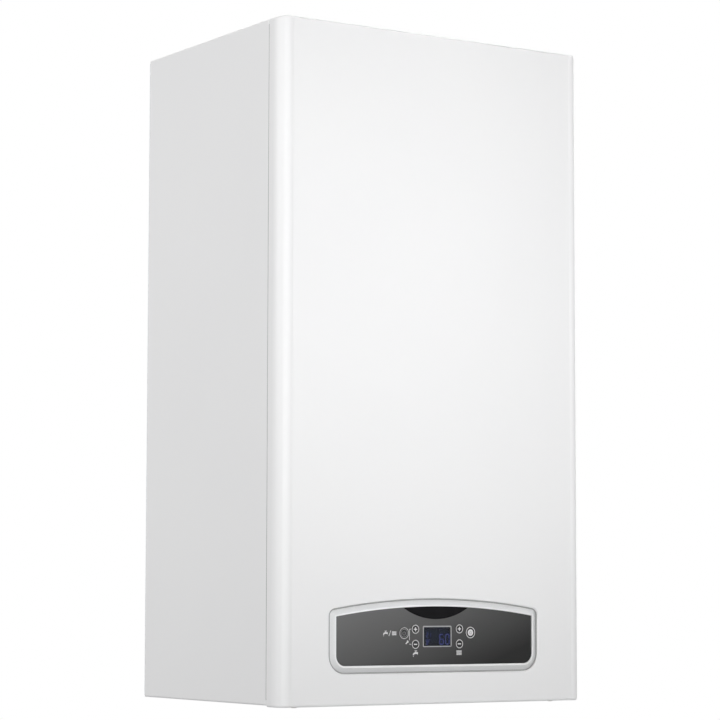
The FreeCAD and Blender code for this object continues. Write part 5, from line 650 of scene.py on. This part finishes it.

# Fascia. Dark grey film behind a satin plastic front, with a painted sheen: its colour runs lighter towards
# its upper left and darker to the lower right. It lies in the bezel's pocket and has openings for the buttons
# and the display.
fascia_film_painted_sheen, tree, shader = coat_of("fascia_film_painted_sheen", (0.07, 0.07, 0.072), 0.42)
shader.inputs["Specular IOR Level"].default_value = 0.15
place = tree.nodes.new("ShaderNodeTexCoord")
spread = tree.nodes.new("ShaderNodeMapping")
spread.inputs["Location"].default_value = (0.385, 0.0, 4.41)
spread.inputs["Scale"].default_value = (-2.7, 0.0, 7.0)
tree.links.new(place.outputs["Object"], spread.inputs["Vector"])
painted_sheen_axes = tree.nodes.new("ShaderNodeSeparateXYZ")
tree.links.new(spread.outputs["Vector"], painted_sheen_axes.inputs["Vector"])
painted_sheen_slope = tree.nodes.new("ShaderNodeMath")
painted_sheen_slope.operation = "ADD"
tree.links.new(painted_sheen_axes.outputs["X"], painted_sheen_slope.inputs[0])
tree.links.new(painted_sheen_axes.outputs["Z"], painted_sheen_slope.inputs[1])
# The ramp paints a sheen: the film is lighter towards its upper left and darker to the lower right.
painted_sheen_ramp = tree.nodes.new("ShaderNodeValToRGB")
painted_sheen_ramp.color_ramp.elements[0].position = 0.0
painted_sheen_ramp.color_ramp.elements[1].position = 1.0
painted_sheen_ramp.color_ramp.elements[0].color = (0.022, 0.022, 0.022, 1.0)
painted_sheen_ramp.color_ramp.elements[1].color = (0.175, 0.175, 0.176, 1.0)
tree.links.new(painted_sheen_slope.outputs[0], painted_sheen_ramp.inputs["Fac"])
tree.links.new(painted_sheen_ramp.outputs["Color"], shader.inputs["Base Color"])
raise_by(tree, grain(tree, 3000.0, 1.0), shader, 0.04, 0.00005)
dressed(fascia_film_painted_sheen, "control_fascia")

# Lens under the bezel's crown. A thin plain piece of black acrylic with a deep gloss, rounded below and stuck
# to the fascia.
lens_acrylic, tree, shader = coat_of("lens_acrylic", (0.004, 0.004, 0.005), 0.12)
shader.inputs["Specular IOR Level"].default_value = 0.1
tint(tree, grain(tree, 40.0, 2.0), shader, (0.003, 0.003, 0.004), (0.006, 0.006, 0.007))
dressed(lens_acrylic, "badge_lens")

# Signs printed on the fascia: a tap and a radiator under the two button pairs, both beside the mode button,
# and a spanner at the line that joins the water buttons. White screen-printed ink, 0.04 mm thick.
display_middle = 0.0019
fascia_face, button_face, ink = -0.2992, -0.3, 0.00004
screen_ink, tree, shader = coat_of("screen_ink", (0.72, 0.72, 0.72), 0.5)
tint(tree, grain(tree, 900.0, 2.0), shader, (0.66, 0.66, 0.66), (0.76, 0.76, 0.76))


def plate(outline, face, rise):
    """A thin flat piece on the panel, measured from the display's middle."""
    piece = drawing()
    trace(outline, face, display_middle)
    bpy.ops.mesh.select_all(action="SELECT")
    bpy.ops.mesh.edge_face_add()
    thickened(rise)
    return piece


def box_outline(left, right, low, high):
    """Outline of an upright box."""
    return [(left, low), (right, low), (right, high), (left, high)]


def stroke(start, end, width):
    """Outline of a straight stroke of that width."""
    run = Vector(end) - Vector(start)
    side = Vector((-run.y, run.x)).normalized() * width / 2
    return [Vector(start) + side, Vector(end) + side, Vector(end) - side, Vector(start) - side]


def sign(outlines, across, height, size):
    """Outlines drawn about a centre, at that place and scale."""
    return [[(across + x * size, height + z * size) for x, z in outline] for outline in outlines]


tap_sign = [
    [(3.8, 1.3), (3.8, -1.5), (2.7, -1.5), (2.7, -0.9), (-0.5, -0.9), (-1.5, -1.3), (-1.8, -2.3),
     (-3.4, -2.3), (-3.0, -0.4), (-1.7, 0.8), (0.2, 1.0), (0.2, 2.1), (1.4, 2.1), (1.4, 1.0), (2.7, 0.9),
     (2.7, 1.3)],
    box_outline(-1.0, 2.6, 2.3, 3.1),
    [(-2.6, -2.8), (-3.2, -3.7), (-2.6, -4.2), (-2.0, -3.7)],
]
radiator_sign = [box_outline(x - 0.5, x + 0.5, -2.6, 2.6) for x in (-2.8, -1.4, 0.0, 1.4, 2.8)]
radiator_sign += [box_outline(-3.6, 3.6, 1.4, 2.0), box_outline(-3.6, 3.6, -2.0, -1.4)]
spanner_sign = [
    [(-2.6, -1.5), (-1.5, -2.6), (-0.7, -1.6), (0.8, -0.4), (1.6, -0.4), (2.6, 0.5), (2.6, 1.7), (1.5, 0.8),
     (0.8, 1.5), (1.7, 2.6), (0.5, 2.6), (-0.4, 1.6), (-0.4, 0.8), (-1.6, -0.7)],
]
prints = sign(tap_sign, across=-29.0, height=55.3, size=0.92)
prints += sign(radiator_sign, across=29.2, height=55.2, size=0.98)
prints += sign(tap_sign, across=-68.2, height=77.3, size=0.82)
prints += sign(radiator_sign, across=-56.6, height=77.0, size=0.82)
slash_width, line_width = 0.7, 0.55
prints.append(stroke((-63.4, 74.2), (-61.0, 80.0), slash_width))
prints += sign(spanner_sign, across=-39.7, height=67.1, size=0.85)
for start, end in (((-36.6, 69.4), (-36.6, 81.0)), ((-36.85, 81.3), (-34.4, 81.3)),
                   ((-36.9, 65.2), (-34.4, 64.9))):
    prints.append(stroke(start, end, line_width))
panel_signs = assembled("panel_signs", [plate(outline, fascia_face, ink) for outline in prints])
finished(panel_signs, screen_ink, "control")

# Push buttons. Dark mouldings in the fascia's tone that slide in the fascia, each with a printed ring and
# sign; the reset button has a pale cap, the mode button a fainter inner ring.
button_dark = moulded("button_dark", (0.030, 0.030, 0.031), (0.048, 0.048, 0.049), 0.4)
button_dark.node_tree.nodes["Principled BSDF"].inputs["Specular IOR Level"].default_value = 0.2
faint_ink, tree, shader = coat_of("faint_ink", (0.34, 0.34, 0.34), 0.5)
tint(tree, grain(tree, 900.0, 2.0), shader, (0.31, 0.31, 0.31), (0.37, 0.37, 0.37))


def ring(across, height, outer, inner, face):
    """A flat printed ring; place and radii in millimetres."""
    outer, inner = outer / 1000, inner / 1000
    piece = turned("ring", [(inner, 0.0), (outer, 0.0), (outer, ink), (inner, ink), (inner, 0.0)], steps=40)
    seated(piece, (across / 1000 + display_middle, face, height / 1000 + casing_foot), to_front)
    return piece


def power_mark(across, height, radius, width):
    """Outlines of an open ring with a stroke in its gap."""
    opening, sweep, steps = 128, 284, 20
    turns = [math.radians(opening + sweep * step / steps) for step in range(steps + 1)]

    def arc(reach):
        """Points of the open ring at that distance from its middle."""
        return [(across + reach * math.cos(turn), height + reach * math.sin(turn)) for turn in turns]

    upstroke = stroke((across, height + radius * 0.25), (across, height + radius * 1.25), width)
    return [arc(radius + width / 2) + arc(radius - width / 2)[::-1], upstroke]


pair_across, up_height, down_height = 29.2, 81.2, 64.85
sign_reach, sign_width = 2.2, 1.15
for name, across, height, upward in (
    ("button_water_up", -pair_across, up_height, True),
    ("button_water_down", -pair_across, down_height, False),
    ("button_heating_up", pair_across, up_height, True),
    ("button_heating_down", pair_across, down_height, False),
):
    level_bar = stroke((across - sign_reach, height), (across + sign_reach, height), sign_width)
    marks = [ring(across, height, outer=4.75, inner=4.05, face=button_face)]
    marks.append(plate(level_bar, button_face, ink))
    if upward:
        for low, high in ((sign_width / 2, sign_reach), (-sign_reach, -sign_width / 2)):
            half_bar = stroke((across, height + low), (across, height + high), sign_width)
            marks.append(plate(half_bar, button_face, ink))
    finished(assembled("mark_" + name, marks), screen_ink, name)
    dressed(button_dark, name)

mode_across, reset_across, row_height = -44.05, 44.05, 77.1
mode_ring = ring(mode_across, row_height, outer=6.1, inner=5.55, face=button_face)
finished(assembled("mark_button_mode", [mode_ring]), screen_ink, "button_mode")
mode_marks = [ring(mode_across, row_height, outer=4.45, inner=4.0, face=button_face)]
for outline in power_mark(mode_across, height=76.9, radius=1.9, width=0.42):
    mode_marks.append(plate(outline, button_face, ink))
finished(assembled("inner_mark_button_mode", mode_marks), faint_ink, "button_mode")
dressed(button_dark, "button_mode")

reset_ring = ring(reset_across, row_height, outer=6.15, inner=5.45, face=button_face)
finished(assembled("mark_button_reset", [reset_ring]), screen_ink, "button_reset")
cap_rise, cap_edge, cap_radius, cap_flat = 0.00012, 0.00006, 0.0036, 0.0032
cap_profile = [(0.0, cap_rise), (cap_flat, cap_rise), (cap_radius, cap_edge), (cap_radius, 0.0), (0.0, 0.0)]
reset_cap = turned("reset_cap", cap_profile, steps=40)
reset_place = (reset_across / 1000 + display_middle, button_face, row_height / 1000 + casing_foot)
seated(reset_cap, reset_place, to_front)
finished(reset_cap, screen_ink, "button_reset")
reset_sign = power_mark(reset_across, height=77.0, radius=1.5, width=0.55)
reset_marks = [plate(outline, button_face - cap_rise, ink) for outline in reset_sign]
finished(assembled("power_mark_button_reset", reset_marks), faint_ink, "button_reset")
dressed(button_dark, "button_reset")

# Display. A clear pane in a pale printed frame; behind it the dark face of the display with dim blue figures,
# a small pair at the left and a large pair at the right.
window_half, window_low, window_high, face_setback = 17.85, 62.8, 83.4, 0.05
pane_back, pane_rise = -0.2982, 0.0008
display_back, display_rise, figure_rise = -0.29755, 0.0004, 0.00004
pane_acrylic, tree, shader = coat_of("pane_acrylic", (0.92, 0.94, 0.97), 0.03)
shader.inputs["Transmission Weight"].default_value = 1.0
shader.inputs["IOR"].default_value = 1.12
dull(tree, grain(tree, 200.0, 2.0), shader, 0.02, 0.05)
pane = plate(box_outline(-window_half, window_half, window_low, window_high), pane_back, pane_rise)
pane.name = "display_pane"
finished(pane, pane_acrylic, "control")
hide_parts("display_window")

display_dark, tree, shader = coat_of("display_dark", (0.004, 0.006, 0.012), 0.4)
shader.inputs["Specular IOR Level"].default_value = 0.2
tint(tree, grain(tree, 60.0, 2.0), shader, (0.002, 0.004, 0.005), (0.005, 0.008, 0.020))
face_half = window_half - face_setback
face_outline = box_outline(-face_half, face_half, window_low + face_setback, window_high - face_setback)
display_face = plate(face_outline, display_back, display_rise)
display_face.name = "display_face"
finished(display_face, display_dark, "control")

figure_blue, tree, shader = coat_of("figure_blue", (0.018, 0.026, 0.150), 0.4)
tint(tree, grain(tree, 300.0, 2.0), shader, (0.015, 0.022, 0.130), (0.021, 0.030, 0.170))
lit_bars = {"0": "abcdef", "1": "bc", "2": "abdeg", "3": "abcdg", "4": "bcfg", "6": "acdefg"}


def figure(digit, across, height, wide, high, width):
    """Outlines of a seven-bar figure with its lower left corner at that place."""
    left, right, low, mid, top = across, across + wide, height, height + high / 2, height + high
    bars = {
        "a": ((left, top), (right, top)), "b": ((right, mid), (right, top)),
        "c": ((right, low), (right, mid)), "d": ((left, low), (right, low)),
        "e": ((left, low), (left, mid)), "f": ((left, mid), (left, top)),
        "g": ((left, mid), (right, mid)),
    }
    bar_gap = 0.12
    outlines = []
    for bar in lit_bars[digit]:
        start, end = Vector(bars[bar][0]), Vector(bars[bar][1])
        run = (end - start).normalized()
        side = Vector((-run.y, run.x)) * width / 2
        point = run * width / 2
        first, last = start + run * bar_gap, end - run * bar_gap
        outlines.append([first, first + point + side, last - point + side, last,
                         last - point - side, first + point - side])
    return outlines


large_size, small_size, large_foot, small_foot = (4.8, 10.6, 1.5), (2.2, 4.6, 0.8), 64.7, 72.6
figures = figure("6", 4.1, large_foot, *large_size) + figure("0", 11.9, large_foot, *large_size)
figures += figure("2", -13.6, small_foot, *small_size) + figure("1", -10.2, small_foot, *small_size)
bars_left, bars_right, bars_low, bars_step, bars_growth, bar_width = -14.0, -11.8, 64.6, 1.6, 1.1, 0.9
for row in range(4):
    bar_height = bars_low + row * bars_step
    figures.append(stroke((bars_left, bar_height), (bars_right + row * bars_growth, bar_height), bar_width))
figure_face = display_back - display_rise
figure_plates = [plate(outline, figure_face, figure_rise) for outline in figures]
display_figures = assembled("display_figures", figure_plates)
finished(display_figures, figure_blue, "control")

frame_grey, tree, shader = coat_of("display_frame_grey", (0.42, 0.42, 0.425), 0.35)
tint(tree, grain(tree, 500.0, 2.0), shader, (0.38, 0.38, 0.385), (0.46, 0.46, 0.465))


def rounded_box(half, low, high, radius):
    """Outline of an upright box with round corners."""
    steps = 6
    points = []
    for x, z, start in ((half, low, -90), (half, high, 0), (-half, high, 90), (-half, low, 180)):
        middle_x = math.copysign(abs(x) - radius, x)
        middle_z = z + radius if z == low else z - radius
        for step in range(steps + 1):
            turn = math.radians(start + 90 * step / steps)
            points.append((middle_x + radius * math.cos(turn), middle_z + radius * math.sin(turn)))
    return points


frame_outer = rounded_box(half=18.95, low=61.8, high=84.75, radius=1.5)
frame_inner = rounded_box(half=17.9, low=window_low, high=window_high, radius=0.5)
frame_rise = 0.00025
display_frame = rim("display_frame", frame_outer, frame_inner, fascia_face, frame_rise, display_middle)
finished(display_frame, frame_grey, "control")

# Pressure gauge in the bottom plate, read from below. Black moulded cup with a white printed dial from 0 to
# 4, a green and a red band, a red needle on its pin, and a pressed-in clear cover.
gauge_x, gauge_y, dial_face = -0.105, -0.185, -0.6608
dressed(black_moulding, "pressure_gauge")
dressed(red_moulding, "gauge_needle")
pin_hole, dial_flat, dial_radius, dial_chamfer, dial_depth = 0.0017, 0.0180, 0.0183, 0.0002, 0.0005
dial_back = dial_face + dial_depth
dial_profile = [(pin_hole, dial_face), (dial_flat, dial_face), (dial_radius, dial_face + dial_chamfer),
                (dial_radius, dial_back), (pin_hole, dial_back), (pin_hole, dial_face)]
dial = turned("gauge_dial", dial_profile, steps=64)
seated(dial, (gauge_x, gauge_y, 0.0), upright)
finished(dial, pale_moulding, "frame")


def dial_mark(outline):
    """A printed mark on the dial; the outline gives millimetres right and up, as read from below."""
    piece = plate([(x - display_middle * 1000, z - casing_foot * 1000) for x, z in outline], 0.0, ink)
    seated(piece, (gauge_x, gauge_y, dial_face), to_front)
    return piece


zero_turn, turn_per_bar, ticks_per_bar, full_scale = 135, 67.5, 5, 4
band_outer, band_inner, tick_outer = 17.2, 16.0, 15.6


def around(reading, radius):
    """The point on the dial at that reading and distance from its middle."""
    turn = math.radians(zero_turn + turn_per_bar * reading)
    return radius * math.cos(turn), -radius * math.sin(turn)


def band(start, end):
    """Outline of a band round the dial between two readings."""
    steps = 16
    readings = [start + (end - start) * step / steps for step in range(steps + 1)]
    outer = [around(reading, band_outer) for reading in readings]
    return outer + [around(reading, band_inner) for reading in reversed(readings)]


dial_prints = []
long_tick, short_tick = (12.6, 0.6), (14.2, 0.3)
for tick in range(full_scale * ticks_per_bar + 1):
    tick_inner, tick_width = long_tick if tick % ticks_per_bar == 0 else short_tick
    reading = tick / ticks_per_bar
    dial_prints.append(stroke(around(reading, tick_inner), around(reading, tick_outer), tick_width))
figure_ring, figure_wide, figure_high, figure_stroke = 10.0, 1.6, 2.8, 0.42
for reading in range(full_scale + 1):
    across, up = around(reading, figure_ring)
    left, low = across - figure_wide / 2, up - figure_high / 2
    dial_prints += figure(str(reading), left, low, figure_wide, figure_high, figure_stroke)
dial_ink, tree, shader = coat_of("dial_ink", (0.02, 0.02, 0.02), 0.5)
tint(tree, grain(tree, 900.0, 2.0), shader, (0.015, 0.015, 0.015), (0.03, 0.03, 0.03))
dial_figures = assembled("dial_figures", [dial_mark(outline) for outline in dial_prints])
finished(dial_figures, dial_ink, "frame")
green_ink, tree, shader = coat_of("green_ink", (0.03, 0.30, 0.08), 0.5)
tint(tree, grain(tree, 900.0, 2.0), shader, (0.025, 0.26, 0.07), (0.035, 0.34, 0.09))
working_band = assembled("dial_working_band", [dial_mark(band(1.0, 2.0))])
finished(working_band, green_ink, "frame")
red_ink, tree, shader = coat_of("red_ink", (0.50, 0.03, 0.025), 0.5)
tint(tree, grain(tree, 900.0, 2.0), shader, (0.45, 0.025, 0.02), (0.55, 0.035, 0.03))
limit_band = assembled("dial_limit_band", [dial_mark(band(3.0, 4.0))])
finished(limit_band, red_ink, "frame")
cover_acrylic, tree, shader = coat_of("cover_acrylic", (0.96, 0.97, 0.98), 0.03)
shader.inputs["Transmission Weight"].default_value = 1.0
shader.inputs["IOR"].default_value = 1.2
dull(tree, grain(tree, 120.0, 2.0), shader, 0.02, 0.06)
cover_profile = [(0.0, -0.6697), (0.008, -0.6695), (0.014, -0.6691), (dial_radius, -0.6684),
                 (dial_radius, -0.6676), (0.014, -0.6682), (0.008, -0.6686), (0.0, -0.6688)]
gauge_cover = turned("gauge_cover", cover_profile, steps=64)
seated(gauge_cover, (gauge_x, gauge_y, 0.0), upright)
finished(gauge_cover, cover_acrylic, "frame")
